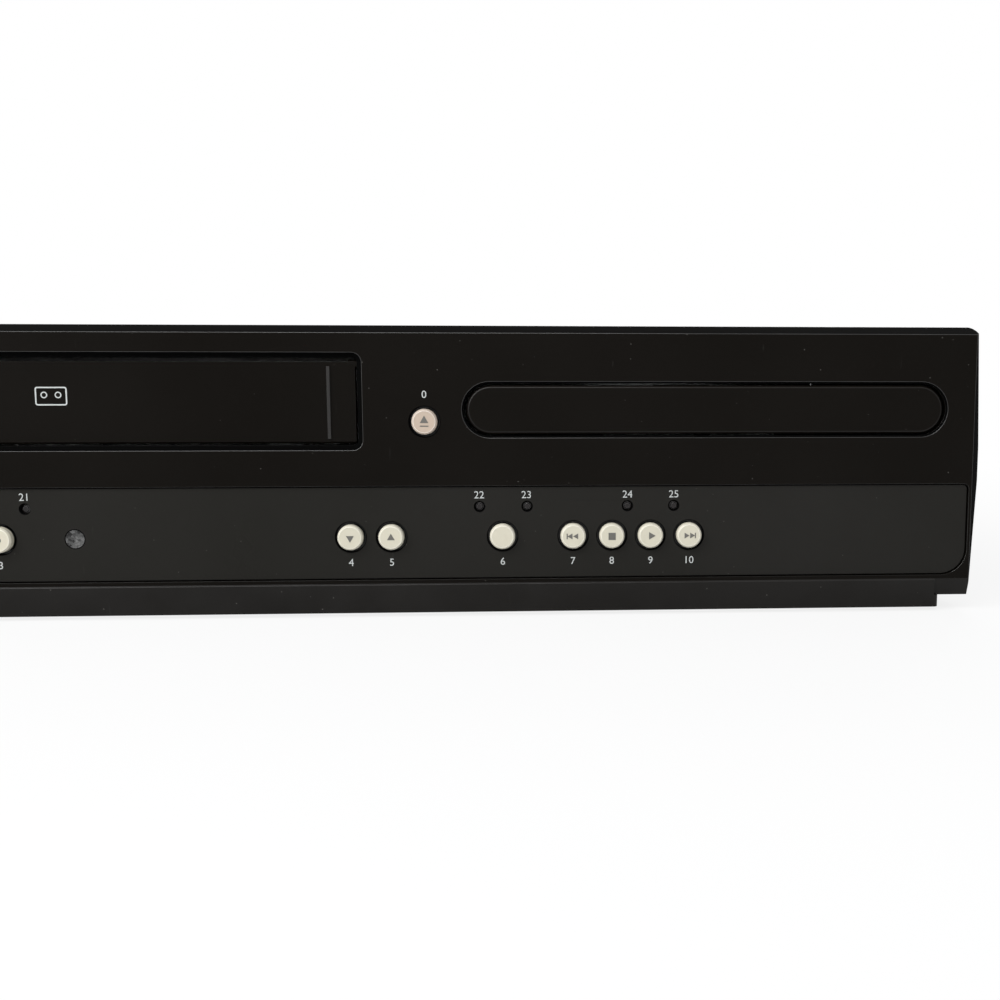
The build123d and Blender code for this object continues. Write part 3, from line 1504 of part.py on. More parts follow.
with BuildPart() as disc_clamp:
    rod(tray_x, disc_y, clamp_low, loader_top - loader_gap, clamp_radius)
    rod(tray_x, disc_y, clamp_low, bridge_top + loader_gap, clamp_neck)
    collar_low = bridge_top + loader_gap
    rod(tray_x, disc_y, collar_low, collar_low + bridge_sheet, clamp_collar)
disc_clamp.part.label = "disc_clamp"
export_step(disc_clamp.part, "parts/disc_clamp.step")
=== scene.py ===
import json
import math

import bpy
from mathutils import Matrix, Vector

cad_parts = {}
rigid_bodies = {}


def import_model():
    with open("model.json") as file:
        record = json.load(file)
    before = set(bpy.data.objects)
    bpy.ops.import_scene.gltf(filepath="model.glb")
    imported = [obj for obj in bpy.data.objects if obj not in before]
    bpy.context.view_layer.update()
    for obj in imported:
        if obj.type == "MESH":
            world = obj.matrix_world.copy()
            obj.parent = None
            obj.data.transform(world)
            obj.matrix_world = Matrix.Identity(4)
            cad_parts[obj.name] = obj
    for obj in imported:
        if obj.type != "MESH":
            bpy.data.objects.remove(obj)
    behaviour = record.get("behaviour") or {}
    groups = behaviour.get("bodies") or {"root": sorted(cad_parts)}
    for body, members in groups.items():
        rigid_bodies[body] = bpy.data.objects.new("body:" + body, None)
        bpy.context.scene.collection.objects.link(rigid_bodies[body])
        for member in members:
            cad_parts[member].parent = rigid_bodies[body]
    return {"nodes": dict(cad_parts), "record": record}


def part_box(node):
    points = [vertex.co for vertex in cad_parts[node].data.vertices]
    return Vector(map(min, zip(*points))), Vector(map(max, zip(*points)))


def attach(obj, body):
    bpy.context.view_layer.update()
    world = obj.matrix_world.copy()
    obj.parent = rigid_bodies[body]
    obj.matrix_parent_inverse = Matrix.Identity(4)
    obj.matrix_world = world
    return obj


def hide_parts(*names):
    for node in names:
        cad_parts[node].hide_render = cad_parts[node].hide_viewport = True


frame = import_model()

scene = bpy.context.scene
mm = 0.001
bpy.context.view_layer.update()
print("frame loaded,", len(frame["nodes"]), "nodes")

# node helpers


def addMath(nodes, links, operation, first, second):
    node = nodes.new("ShaderNodeMath")
    node.operation = operation
    for index, value in enumerate((first, second)):
        if hasattr(value, "links"):
            links.new(value, node.inputs[index])
        else:
            node.inputs[index].default_value = value
    return node.outputs[0]


def addRange(nodes, links, value, fromLow, fromHigh, toLow=0.0, toHigh=1.0):
    node = nodes.new("ShaderNodeMapRange")
    node.inputs["From Min"].default_value = fromLow
    node.inputs["From Max"].default_value = fromHigh
    node.inputs["To Min"].default_value = toLow
    node.inputs["To Max"].default_value = toHigh
    links.new(value, node.inputs["Value"])
    return node.outputs["Result"]


def addNoise(nodes, links, place, scale, detail=3.0, roughness=0.5):
    node = nodes.new("ShaderNodeTexNoise")
    node.inputs["Scale"].default_value = scale
    node.inputs["Detail"].default_value = detail
    node.inputs["Roughness"].default_value = roughness
    links.new(place, node.inputs["Vector"])
    return node.outputs["Fac"]


def addCells(nodes, links, place, scale):
    cells = nodes.new("ShaderNodeTexVoronoi")
    cells.inputs["Scale"].default_value = scale
    links.new(place, cells.inputs["Vector"])
    pick = nodes.new("ShaderNodeSeparateColor")
    links.new(cells.outputs["Color"], pick.inputs[0])
    return cells, pick


def readMark(nodes, name):
    mark = nodes.new("ShaderNodeAttribute")
    mark.attribute_name = name
    return mark.outputs["Fac"]


# camera and light

camera = {
    "place": (0.0620, -0.4929, 0.0828),
    "yaw": -3.33,  # degrees, towards the player's right end
    "pitch": -6.47,
    "roll": -0.06,
    "lens": 39.6,
    "sensor": 36.0,
    "shiftX": -0.1,
    "clip": (0.01, 20.0),
}

room = {
    "colour": (0.95, 0.97, 1.0, 1.0),
    "strength": 0.5,
    "seenColour": (1.0, 1.0, 1.0, 1.0),  # what the camera, mirrors and glass see
    "seenStrength": 1.0,
}

floor = {
    "size": 12.0,
    "colour": (0.82, 0.82, 0.815, 1.0),
    "brightness": 1.0,
    "fadeReach": (0.3, 0.7),  # between these distances the floor turns plain white to the camera
    "whiteShare": (0.84, 1.0),
}

softboxes = {
    # place, size, strength
    "topSoftbox": ((-0.45, -0.75, 0.95), (1.5, 0.35), 11.0),
    "sideSoftbox": ((-1.05, -0.75, 0.55), (0.5, 0.7), 6.0),
    "rearSoftbox": ((0.5, 1.15, 0.85), (1.0, 0.6), 8.0),
}
softboxAim = (0.0, 0.0, 0.04)


def addCamera():
    bpy.ops.object.camera_add(location=camera["place"])
    eye = bpy.context.object
    eye.name = "photoCamera"
    turn = (
        Matrix.Rotation(math.radians(camera["yaw"]), 3, "Z")
        @ Matrix.Rotation(math.radians(camera["pitch"]), 3, "X")
        @ Matrix.Rotation(math.radians(camera["roll"]), 3, "Y")
        @ Matrix.Rotation(math.radians(90), 3, "X")
    )
    eye.rotation_euler = turn.to_euler()
    eye.data.lens = camera["lens"]
    eye.data.sensor_width = camera["sensor"]
    eye.data.shift_x = camera["shiftX"]
    eye.data.clip_start, eye.data.clip_end = camera["clip"]
    scene.camera = eye


def addRoom():
    world = bpy.data.worlds.new("studioRoom")
    scene.world = world
    world.use_nodes = True
    nodes = world.node_tree.nodes
    links = world.node_tree.links
    nodes.clear()
    output = nodes.new("ShaderNodeOutputWorld")
    mix = nodes.new("ShaderNodeMixShader")
    light = nodes.new("ShaderNodeBackground")
    seen = nodes.new("ShaderNodeBackground")
    path = nodes.new("ShaderNodeLightPath")
    light.inputs["Color"].default_value = room["colour"]
    light.inputs["Strength"].default_value = room["strength"]
    seen.inputs["Color"].default_value = room["seenColour"]
    seen.inputs["Strength"].default_value = room["seenStrength"]
    share = path.outputs["Is Camera Ray"]
    for ray in ("Is Glossy Ray", "Is Transmission Ray"):
        share = addMath(nodes, links, "MAXIMUM", share, path.outputs[ray])
    links.new(share, mix.inputs[0])
    links.new(light.outputs[0], mix.inputs[1])
    links.new(seen.outputs[0], mix.inputs[2])
    links.new(mix.outputs[0], output.inputs["Surface"])


def addFloor():
    bpy.ops.mesh.primitive_plane_add(size=floor["size"], location=(0.0, 0.0, 0.0))
    sheet = bpy.context.object
    sheet.name = "paleFloor"
    material = bpy.data.materials.new("palePaper")
    material.use_nodes = True
    nodes = material.node_tree.nodes
    links = material.node_tree.links
    nodes.clear()
    output = nodes.new("ShaderNodeOutputMaterial")
    mix = nodes.new("ShaderNodeMixShader")
    paper = nodes.new("ShaderNodeBsdfDiffuse")
    bright = nodes.new("ShaderNodeEmission")
    path = nodes.new("ShaderNodeLightPath")
    spot = nodes.new("ShaderNodeNewGeometry")
    reach = nodes.new("ShaderNodeVectorMath")
    paper.inputs["Color"].default_value = floor["colour"]
    bright.inputs["Strength"].default_value = floor["brightness"]
    reach.operation = "LENGTH"
    links.new(spot.outputs["Position"], reach.inputs[0])
    fade = addRange(nodes, links, reach.outputs["Value"], *floor["fadeReach"], *floor["whiteShare"])
    share = addMath(nodes, links, "MULTIPLY", path.outputs["Is Camera Ray"], fade)
    links.new(share, mix.inputs[0])
    links.new(paper.outputs[0], mix.inputs[1])
    links.new(bright.outputs[0], mix.inputs[2])
    links.new(mix.outputs[0], output.inputs["Surface"])
    sheet.data.materials.append(material)


def addSoftbox(name, place, size, strength):
    bpy.ops.object.light_add(type="AREA", location=place)
    lamp = bpy.context.object
    lamp.name = name
    lamp.data.shape = "RECTANGLE"
    lamp.data.size = size[0]
    lamp.data.size_y = size[1]
    lamp.data.energy = strength
    lamp.rotation_euler = (Vector(softboxAim) - Vector(place)).to_track_quat("-Z", "Y").to_euler()


addCamera()
addRoom()
addFloor()
for name, row in softboxes.items():
    addSoftbox(name, *row)
scene.view_settings.view_transform = "Standard"
print("camera, room and lights placed")

# shared surface effects, as node groups

dustLook = {"scale": 520.0, "speck": (0.04, 0.12)}  # speck: smallest and largest, as shares of a cell

grainLook = {"detail": 2.0, "patchScale": 9.0, "patchDetail": 4.0}

hairLook = {
    "turn": (0.3, 0.9, 0.2),
    "stretch": (800.0, 800.0, 90.0),
    "width": (0.74, 0.77),
    "patchScale": 26.0,
    "patches": (0.55, 0.68),
}

sheenLook = {"patchScale": 60.0, "patches": (0.3, 0.7), "strength": (0.75, 1.0)}


def newGroup(name, inputs, outputs):
    group = bpy.data.node_groups.new(name, "ShaderNodeTree")
    for title, kind, value in inputs:
        socket = group.interface.new_socket(name=title, in_out="INPUT", socket_type=kind)
        socket.default_value = value
    for title, kind in outputs:
        group.interface.new_socket(name=title, in_out="OUTPUT", socket_type=kind)
    entry = group.nodes.new("NodeGroupInput")
    leave = group.nodes.new("NodeGroupOutput")
    return group, entry, leave


def makeDustGroup():
    group, entry, leave = newGroup(
        "fineDust",
        [
            ("Vector", "NodeSocketVector", (0, 0, 0)),
            ("Scale", "NodeSocketFloat", dustLook["scale"]),
            ("Amount", "NodeSocketFloat", 0.1),
        ],
        [("Mask", "NodeSocketFloat")],
    )
    nodes, links = group.nodes, group.links
    cells = nodes.new("ShaderNodeTexVoronoi")
    links.new(entry.outputs["Vector"], cells.inputs["Vector"])
    links.new(entry.outputs["Scale"], cells.inputs["Scale"])
    pick = nodes.new("ShaderNodeSeparateColor")
    links.new(cells.outputs["Color"], pick.inputs[0])
    chosen = addMath(nodes, links, "LESS_THAN", pick.outputs[0], entry.outputs["Amount"])
    size = addRange(nodes, links, pick.outputs[1], 0.0, 1.0, *dustLook["speck"])
    speck = addMath(nodes, links, "LESS_THAN", cells.outputs["Distance"], size)
    links.new(addMath(nodes, links, "MULTIPLY", chosen, speck), leave.inputs["Mask"])
    return group


def makeGrainGroup():
    group, entry, leave = newGroup(
        "mouldedGrain",
        [("Vector", "NodeSocketVector", (0, 0, 0)), ("Scale", "NodeSocketFloat", 1800.0)],
        [("Height", "NodeSocketFloat"), ("Patches", "NodeSocketFloat")],
    )
    nodes, links = group.nodes, group.links
    fine = nodes.new("ShaderNodeTexNoise")
    fine.inputs["Detail"].default_value = grainLook["detail"]
    links.new(entry.outputs["Vector"], fine.inputs["Vector"])
    links.new(entry.outputs["Scale"], fine.inputs["Scale"])
    broad = addNoise(nodes, links, entry.outputs["Vector"], grainLook["patchScale"], grainLook["patchDetail"])
    links.new(fine.outputs["Fac"], leave.inputs["Height"])
    links.new(broad, leave.inputs["Patches"])
    return group


def makeScratchGroup():
    group, entry, leave = newGroup(
        "hairScratches",
        [("Vector", "NodeSocketVector", (0, 0, 0)), ("Amount", "NodeSocketFloat", 0.5)],
        [("Mask", "NodeSocketFloat")],
    )
    nodes, links = group.nodes, group.links
    stretch = nodes.new("ShaderNodeMapping")
    stretch.inputs["Rotation"].default_value = hairLook["turn"]
    stretch.inputs["Scale"].default_value = hairLook["stretch"]
    links.new(entry.outputs["Vector"], stretch.inputs["Vector"])
    lines = addNoise(nodes, links, stretch.outputs[0], 1.0, 1.0)
    thin = addRange(nodes, links, lines, *hairLook["width"])
    where = addNoise(nodes, links, entry.outputs["Vector"], hairLook["patchScale"], 2.0)
    near = addRange(nodes, links, where, *hairLook["patches"])
    both = addMath(nodes, links, "MULTIPLY", thin, near)
    links.new(addMath(nodes, links, "MULTIPLY", both, entry.outputs["Amount"]), leave.inputs["Mask"])
    return group


def makeSheenGroup():
    group, entry, leave = newGroup(
        "edgeSheen",
        [("Vector", "NodeSocketVector", (0, 0, 0)), ("Amount", "NodeSocketFloat", 1.0)],
        [("Mask", "NodeSocketFloat")],
    )
    nodes, links = group.nodes, group.links
    wear = addNoise(nodes, links, entry.outputs["Vector"], sheenLook["patchScale"], 3.0)
    uneven = addRange(nodes, links, wear, *sheenLook["patches"], *sheenLook["strength"])
    edge = addMath(nodes, links, "MULTIPLY", readMark(nodes, "roundedEdge"), uneven)
    links.new(addMath(nodes, links, "MULTIPLY", edge, entry.outputs["Amount"]), leave.inputs["Mask"])
    return group


fineDust = makeDustGroup()
mouldedGrain = makeGrainGroup()
hairScratches = makeScratchGroup()
edgeSheen = makeSheenGroup()


def placeGroup(nodes, links, group, place, **values):
    node = nodes.new("ShaderNodeGroup")
    node.node_tree = group
    links.new(place, node.inputs["Vector"])
    for title, value in values.items():
        node.inputs[title].default_value = value
    return node


# materials

plasticLook = {
    "shadeColour": (0.0004, 0.0004, 0.0004),
    # the skirt colour is a painted shade for the button skirts seen in the gap round each cap
    "skirtColour": (0.004, 0.004, 0.004),
    "patches": (0.3, 0.7),
    "wearPatches": (0.2, 0.8),
    "wear": 0.06,  # roughness varies by this much over the surface
    "coatRoughness": 0.24,
    "coatIor": 1.8,
    "dustColour": (0.075, 0.072, 0.066),
    "bump": 0.5,
}

metalLook = {
    "lineScale": 30.0,
    "lineDetail": 4.0,
    "lineRoughness": 0.6,
    "lines": (0.35, 0.65),
    "darkWear": 0.1,  # dark lines are rougher by this much
    "lightWear": -0.05,
    "depth": 0.00001,
    "bump": 0.3,
}

paintLook = {
    "peelScale": 1500.0,
    "peelDetail": 2.0,
    "peel": (0.3, 0.7),
    "depth": 0.00006,
    "patchScale": 14.0,
    "patches": (0.35, 0.65),
    "wear": 0.08,
    "specular": 0.35,
    "bump": 0.5,
}

facetLook = {"roughness": (0.12, 0.4), "specular": 0.35, "depth": 0.0002, "bump": 0.5}

boardLook = {
    "scale": 95.0,
    "gap": 0.08,
    "darker": 0.8,
    "patchScale": 300.0,
    "patches": (0.3, 0.7),
    "roughness": (0.42, 0.6),
    "depth": 0.00003,
    "bump": 0.5,
}


def startMaterial(name):
    material = bpy.data.materials.new(name)
    material.use_nodes = True
    nodes = material.node_tree.nodes
    links = material.node_tree.links
    shader = nodes["Principled BSDF"]
    place = nodes.new("ShaderNodeTexCoord").outputs["Object"]
    return material, nodes, links, shader, place


def mixColour(nodes, links, mask, first, second):
    node = nodes.new("ShaderNodeMix")
    node.data_type = "RGBA"
    links.new(mask, node.inputs["Factor"])
    for socket, value in ((node.inputs[6], first), (node.inputs[7], second)):
        if hasattr(value, "links"):
            links.new(value, socket)
        else:
            socket.default_value = (*value, 1.0)
    return node.outputs[2]


def addBump(nodes, links, height, shader, distance, strength):
    bump = nodes.new("ShaderNodeBump")
    bump.inputs["Strength"].default_value = strength
    bump.inputs["Distance"].default_value = distance
    links.new(height, bump.inputs["Height"])
    links.new(bump.outputs["Normal"], shader.inputs["Normal"])


def makePlastic(
    name, colour, patch, roughness, grainScale=1800.0, grainDepth=0.00002, dust=0.0, scratches=0.0,
    specular=0.5, dustColour=plasticLook["dustColour"], edge=0.0, shadedSkirt=None, rim=None,
):
    material, nodes, links, shader, place = startMaterial(name)
    grain = placeGroup(nodes, links, mouldedGrain, place, Scale=grainScale)
    patches = addRange(nodes, links, grain.outputs["Patches"], *plasticLook["patches"])
    base = mixColour(nodes, links, patches, colour, patch)
    if scratches:
        hair = placeGroup(nodes, links, hairScratches, place, Amount=scratches)
        base = mixColour(nodes, links, hair.outputs["Mask"], base, dustColour)
    if dust:
        specks = placeGroup(nodes, links, fineDust, place, Amount=dust)
        base = mixColour(nodes, links, specks.outputs["Mask"], base, dustColour)
    shade = readMark(nodes, "inShade")
    base = mixColour(nodes, links, shade, base, plasticLook["shadeColour"])
    # rim is a lighter colour on the rounded faces, a painted highlight along the cap's rounded rim
    if rim:
        base = mixColour(nodes, links, readMark(nodes, "roundedEdge"), base, rim)
    # behind the skirt depth the cap is painted near black: a painted shade in the gap round the cap
    if shadedSkirt:
        apart = nodes.new("ShaderNodeSeparateXYZ")
        links.new(place, apart.inputs[0])
        behind = addMath(nodes, links, "GREATER_THAN", apart.outputs["Y"], shadedSkirt)
        base = mixColour(nodes, links, behind, base, plasticLook["skirtColour"])
    links.new(base, shader.inputs["Base Color"])
    limits = (roughness - plasticLook["wear"], roughness + plasticLook["wear"])
    worn = addRange(nodes, links, grain.outputs["Patches"], *plasticLook["wearPatches"], *limits)
    links.new(addMath(nodes, links, "MAXIMUM", worn, shade), shader.inputs["Roughness"])
    shader.inputs["Specular IOR Level"].default_value = specular
    if edge:
        sheen = placeGroup(nodes, links, edgeSheen, place, Amount=edge)
        links.new(sheen.outputs["Mask"], shader.inputs["Coat Weight"])
        shader.inputs["Coat Roughness"].default_value = plasticLook["coatRoughness"]
        shader.inputs["Coat IOR"].default_value = plasticLook["coatIor"]
    addBump(nodes, links, grain.outputs["Height"], shader, grainDepth, plasticLook["bump"])
    return material


def makeMetal(name, colour, dark, roughness, brushed=(1.0, 60.0, 60.0), spangle=0.0):
    material, nodes, links, shader, place = startMaterial(name)
    stretch = nodes.new("ShaderNodeMapping")
    stretch.inputs["Scale"].default_value = [metalLook["lineScale"] * v for v in brushed]
    links.new(place, stretch.inputs["Vector"])
    lines = addNoise(
        nodes, links, stretch.outputs[0], 1.0, metalLook["lineDetail"], metalLook["lineRoughness"]
    )
    tone = addRange(nodes, links, lines, *metalLook["lines"])
    if spangle:
        cells, pick = addCells(nodes, links, place, spangle)
        tone = addMath(nodes, links, "MULTIPLY", tone, pick.outputs[0])
    links.new(mixColour(nodes, links, tone, dark, colour), shader.inputs["Base Color"])
    limits = (roughness + metalLook["darkWear"], roughness + metalLook["lightWear"])
    worn = addRange(nodes, links, tone, 0.0, 1.0, *limits)
    links.new(worn, shader.inputs["Roughness"])
    shader.inputs["Metallic"].default_value = 1.0
    addBump(nodes, links, lines, shader, metalLook["depth"], metalLook["bump"])
    return material


def makePaint(name, colour, patch, roughness):
    material, nodes, links, shader, place = startMaterial(name)
    orangePeel = addNoise(nodes, links, place, paintLook["peelScale"], paintLook["peelDetail"])
    wide = addNoise(nodes, links, place, paintLook["patchScale"])
    patches = addRange(nodes, links, wide, *paintLook["patches"])
    links.new(mixColour(nodes, links, patches, colour, patch), shader.inputs["Base Color"])
    limits = (roughness - paintLook["wear"], roughness + paintLook["wear"])
    worn = addRange(nodes, links, orangePeel, *paintLook["peel"], *limits)
    links.new(worn, shader.inputs["Roughness"])
    shader.inputs["Specular IOR Level"].default_value = paintLook["specular"]
    addBump(nodes, links, orangePeel, shader, paintLook["depth"], paintLook["bump"])
    return material


def makeFacets(name, dark, light, scale):
    material, nodes, links, shader, place = startMaterial(name)
    cells, pick = addCells(nodes, links, place, scale)
    links.new(mixColour(nodes, links, pick.outputs[0], dark, light), shader.inputs["Base Color"])
    worn = addRange(nodes, links, pick.outputs[1], 0.0, 1.0, *facetLook["roughness"])
    links.new(worn, shader.inputs["Roughness"])
    shader.inputs["Specular IOR Level"].default_value = facetLook["specular"]
    addBump(nodes, links, cells.outputs["Distance"], shader, facetLook["depth"], facetLook["bump"])
    return material


def makeBoard(name, colour, copper):
    material, nodes, links, shader, place = startMaterial(name)
    weave = nodes.new("ShaderNodeTexBrick")
    weave.inputs["Scale"].default_value = boardLook["scale"]
    weave.inputs["Mortar Size"].default_value = boardLook["gap"]
    weave.inputs["Color1"].default_value = (*colour, 1.0)
    weave.inputs["Color2"].default_value = (*[boardLook["darker"] * v for v in colour], 1.0)
    weave.inputs["Mortar"].default_value = (*copper, 1.0)
    links.new(place, weave.inputs["Vector"])
    links.new(weave.outputs["Color"], shader.inputs["Base Color"])
    patches = addNoise(nodes, links, place, boardLook["patchScale"])
    worn = addRange(nodes, links, patches, *boardLook["patches"], *boardLook["roughness"])
    links.new(worn, shader.inputs["Roughness"])
    addBump(nodes, links, weave.outputs["Fac"], shader, boardLook["depth"], boardLook["bump"])
    return material


buttonSkirtShadeY = -0.1160  # the caps are ivory in front of this; behind it their skirts are painted near black, a painted shade in the gap round each cap
buttonDust = (0.2, 0.18, 0.15)

finishes = {
    "fascia_plastic": makePlastic(
        "satinBlackPlastic", (0.0030, 0.0022, 0.0014), (0.0056, 0.0046, 0.0036), 0.34,
        grainScale=2600.0, dust=0.09, scratches=0.12, specular=0.055, edge=1.0,
    ),
    "panel_plastic": makePlastic(
        "smoothBlackPlastic", (0.0135, 0.0128, 0.0108), (0.0185, 0.0176, 0.0158), 0.3,
        grainScale=3200.0, grainDepth=0.00001, dust=0.09, scratches=0.1, specular=0.07, edge=0.8,
    ),
    "inner_plastic": makePlastic(
        "innerBlackPlastic", (0.02, 0.02, 0.021), (0.03, 0.03, 0.031), 0.5, specular=0.35,
    ),
    "switch_plastic": makePlastic(
        "housingPlastic", (0.022, 0.022, 0.022), (0.034, 0.034, 0.033), 0.46, specular=0.4,
    ),
    "lamp_plastic": makePlastic(
        "lampPlastic", (0.006, 0.005, 0.005), (0.012, 0.009, 0.009), 0.22, specular=0.3, edge=0.7,
    ),
    "window_plastic": makeFacets("windowPlastic", (0.002, 0.002, 0.002), (0.12, 0.12, 0.118), 1000.0),
    "button_plastic": makePlastic(
        "ivoryPlastic", (0.60, 0.565, 0.45), (0.65, 0.615, 0.50), 0.38,
        grainScale=2400.0, grainDepth=0.00001, dust=0.012, dustColour=buttonDust,
        # the rim colour is a painted highlight on the cap's rounded rim
        specular=0.45, edge=0.6, shadedSkirt=buttonSkirtShadeY, rim=(0.80, 0.77, 0.66),
    ),
    "open_button_plastic": makePlastic(
        "warmPlastic", (0.47, 0.375, 0.295), (0.53, 0.43, 0.345), 0.4,
        grainScale=2400.0, grainDepth=0.00001, dust=0.012, dustColour=buttonDust,
        # the rim colour is a painted highlight on the cap's rounded rim
        specular=0.45, edge=0.6, shadedSkirt=buttonSkirtShadeY, rim=(0.76, 0.70, 0.62),
    ),
    "roller_rubber": makePlastic(
        "blackRubber", (0.014, 0.014, 0.014), (0.022, 0.022, 0.022), 0.72,
        grainScale=1200.0, grainDepth=0.00004, specular=0.3,
    ),
    "painted_steel": makePaint("blackCasePaint", (0.0085, 0.0083, 0.008), (0.012, 0.0118, 0.0115), 0.5),
    "zinc_steel": makeMetal("zincSteel", (0.60, 0.61, 0.60), (0.52, 0.53, 0.53), 0.38, spangle=120.0),
    "bright_steel": makeMetal("brightSteel", (0.68, 0.68, 0.67), (0.5, 0.5, 0.5), 0.26),
    "drum_metal": makeMetal(
        "turnedAluminium", (0.82, 0.82, 0.83), (0.68, 0.68, 0.7), 0.22, brushed=(1.0, 1.0, 160.0),
    ),
    "bearing_brass": makeMetal("bearingBronze", (0.72, 0.54, 0.27), (0.5, 0.36, 0.17), 0.34),
    "board": makeBoard("circuitBoard", (0.19, 0.115, 0.045), (0.11, 0.07, 0.03)),
}
printInk = makePlastic(
    "paleInk", (0.48, 0.50, 0.49), (0.54, 0.56, 0.55), 0.5,
    grainScale=6000.0, grainDepth=0.000004, specular=0.2,
)
symbolInk = makePlastic(
    "greyInk", (0.125, 0.12, 0.11), (0.16, 0.155, 0.14), 0.5,
    grainScale=6000.0, grainDepth=0.000004, specular=0.2,
)

slotOf = {row["node"]: row["material_slot"] for row in frame["record"]["subparts"]}
for name, node in frame["nodes"].items():
    for index in range(len(node.material_slots)):
        node.material_slots[index].material = finishes[slotOf[name]]
print("materials made and given to the nodes")

# tools for the pieces

bodyOf = {}
for body, names in frame["record"]["behaviour"]["bodies"].items():
    for nodeName in names:
        bodyOf[nodeName] = body

nodeClean = {"doubles": 0.000002, "flat": 0.6}  # metres, degrees
smoothAngle = 35.0
faceWeight = 100  # large faces set the shading of their corners
squarely = 0.9  # a normal with this share along an axis faces that way


def deselectAll():
    if bpy.context.object and bpy.context.object.mode != "OBJECT":
        bpy.ops.object.mode_set(mode="OBJECT")
    bpy.ops.object.select_all(action="DESELECT")


def pickOnly(piece):
    deselectAll()
    piece.select_set(True)
    bpy.context.view_layer.objects.active = piece


def settle(piece):
    pickOnly(piece)
    bpy.ops.object.transform_apply(location=True, rotation=True, scale=True)


def editAll(piece):
    pickOnly(piece)
    bpy.ops.object.mode_set(mode="EDIT")
    bpy.ops.mesh.select_all(action="SELECT")


def leaveEdit():
    bpy.ops.object.mode_set(mode="OBJECT")


def clearSelection(piece, mode):
    pickOnly(piece)
    bpy.ops.object.mode_set(mode="EDIT")
    bpy.ops.mesh.select_mode(type=mode)
    bpy.ops.mesh.select_all(action="DESELECT")
    leaveEdit()


def selectFaces(piece, wanted):
    clearSelection(piece, "FACE")
    for face in piece.data.polygons:
        face.select = bool(wanted(face))
    bpy.ops.object.mode_set(mode="EDIT")


def bevelEdges(piece, wanted, width, segments):
    clearSelection(piece, "EDGE")
    corners = piece.data.vertices
    for edge in piece.data.edges:
        edge.select = wanted(*[corners[index].co for index in edge.vertices])
    bpy.ops.object.mode_set(mode="EDIT")
    bpy.ops.mesh.bevel(offset=width, segments=segments, affect="EDGES")
    leaveEdit()


def extrudeAlongY(distance):
    bpy.ops.mesh.extrude_region_move(TRANSFORM_OT_translate={"value": (0, distance, 0)})


def cutMiddle(line):
    bpy.ops.mesh.inset(thickness=line)
    bpy.ops.mesh.delete(type="FACE")
    bpy.ops.mesh.select_all(action="SELECT")


def thicken(depth):
    extrudeAlongY(depth)
    bpy.ops.mesh.select_all(action="SELECT")
    bpy.ops.mesh.normals_make_consistent(inside=False)
    leaveEdit()


def markFaces(piece, name, wanted, value):
    marks = piece.data.attributes.get(name) or piece.data.attributes.new(name, "FLOAT", "FACE")
    for index, face in enumerate(piece.data.polygons):
        if wanted(face.center, face.normal):
            marks.data[index].value = max(marks.data[index].value, value)


def dimEdges(piece, wanted, share):
    marks = piece.data.attributes["roundedEdge"]
    for index, face in enumerate(piece.data.polygons):
        if wanted(face.center):
            marks.data[index].value *= share


def roundEdges(piece, width, segments=2, angle=30.0):
    piece.data.materials.clear()
    for slot in range(2):  # the second slot only tells the rounded faces from the rest
        piece.data.materials.append(finishes["board"])
    for face in piece.data.polygons:
        face.material_index = 0
    rounding = piece.modifiers.new("edgeRounding", "BEVEL")
    rounding.width = width
    rounding.segments = segments
    rounding.limit_method = "ANGLE"
    rounding.angle_limit = math.radians(angle)
    rounding.use_clamp_overlap = True
    rounding.material = 1
    pickOnly(piece)
    bpy.ops.object.modifier_apply(modifier=rounding.name)
    marks = piece.data.attributes.new("roundedEdge", "FLOAT", "FACE")
    marks.data.foreach_set("value", [float(face.material_index) for face in piece.data.polygons])
    for face in piece.data.polygons:
        face.material_index = 0
    bpy.ops.object.shade_smooth_by_angle(angle=math.radians(smoothAngle))
    evened = piece.modifiers.new("flatFaces", "WEIGHTED_NORMAL")
    evened.weight = faceWeight
    evened.keep_sharp = True
    bpy.ops.object.modifier_apply(modifier=evened.name)


def copyNode(nodeName, pieceName):
    source = frame["nodes"][nodeName]
    piece = bpy.data.objects.new(pieceName, source.data.copy())
    scene.collection.objects.link(piece)
    editAll(piece)
    bpy.ops.mesh.remove_doubles(threshold=nodeClean["doubles"])
    bpy.ops.mesh.dissolve_limited(angle_limit=math.radians(nodeClean["flat"]))
    leaveEdit()
    return piece


def copyTo(piece, name, move, turn=0.0):
    twin = bpy.data.objects.new(name, piece.data.copy())
    scene.collection.objects.link(twin)
    twin.rotation_euler = (0, 0, math.radians(turn))
    twin.location = move
    settle(twin)
    return twin


def joinPieces(pieces, name):
    deselectAll()
    for piece in pieces:
        piece.select_set(True)
    bpy.context.view_layer.objects.active = pieces[0]
    if len(pieces) > 1:
        bpy.ops.object.join()
    joined = bpy.context.object
    joined.name = name
    return joined


def addAlongY(x, z, front, back, radius, vertices=28):
    bpy.ops.mesh.primitive_cylinder_add(
        vertices=vertices,
        radius=radius,
        depth=back - front,
        location=(x, (front + back) / 2, z),
        rotation=(math.radians(90), 0, 0),
    )
    rod = bpy.context.object
    settle(rod)
    return rod


def cutBehind(piece, depth, keepLow):
    editAll(piece)
    bpy.ops.mesh.bisect(
        plane_co=(0, depth, 0),
        plane_no=(0, 1, 0),
        use_fill=True,
        clear_outer=keepLow,
        clear_inner=not keepLow,
    )
    leaveEdit()


def finishPiece(piece, slotName, body, *replaced, ink=None):
    piece.data.materials.clear()
    piece.data.materials.append(finishes[slotName])
    if replaced:
        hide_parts(*replaced)
    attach(piece, body)
    if ink:
        piece.data.materials[0] = ink


# moulded and pressed pieces, with the small roundings that they really have

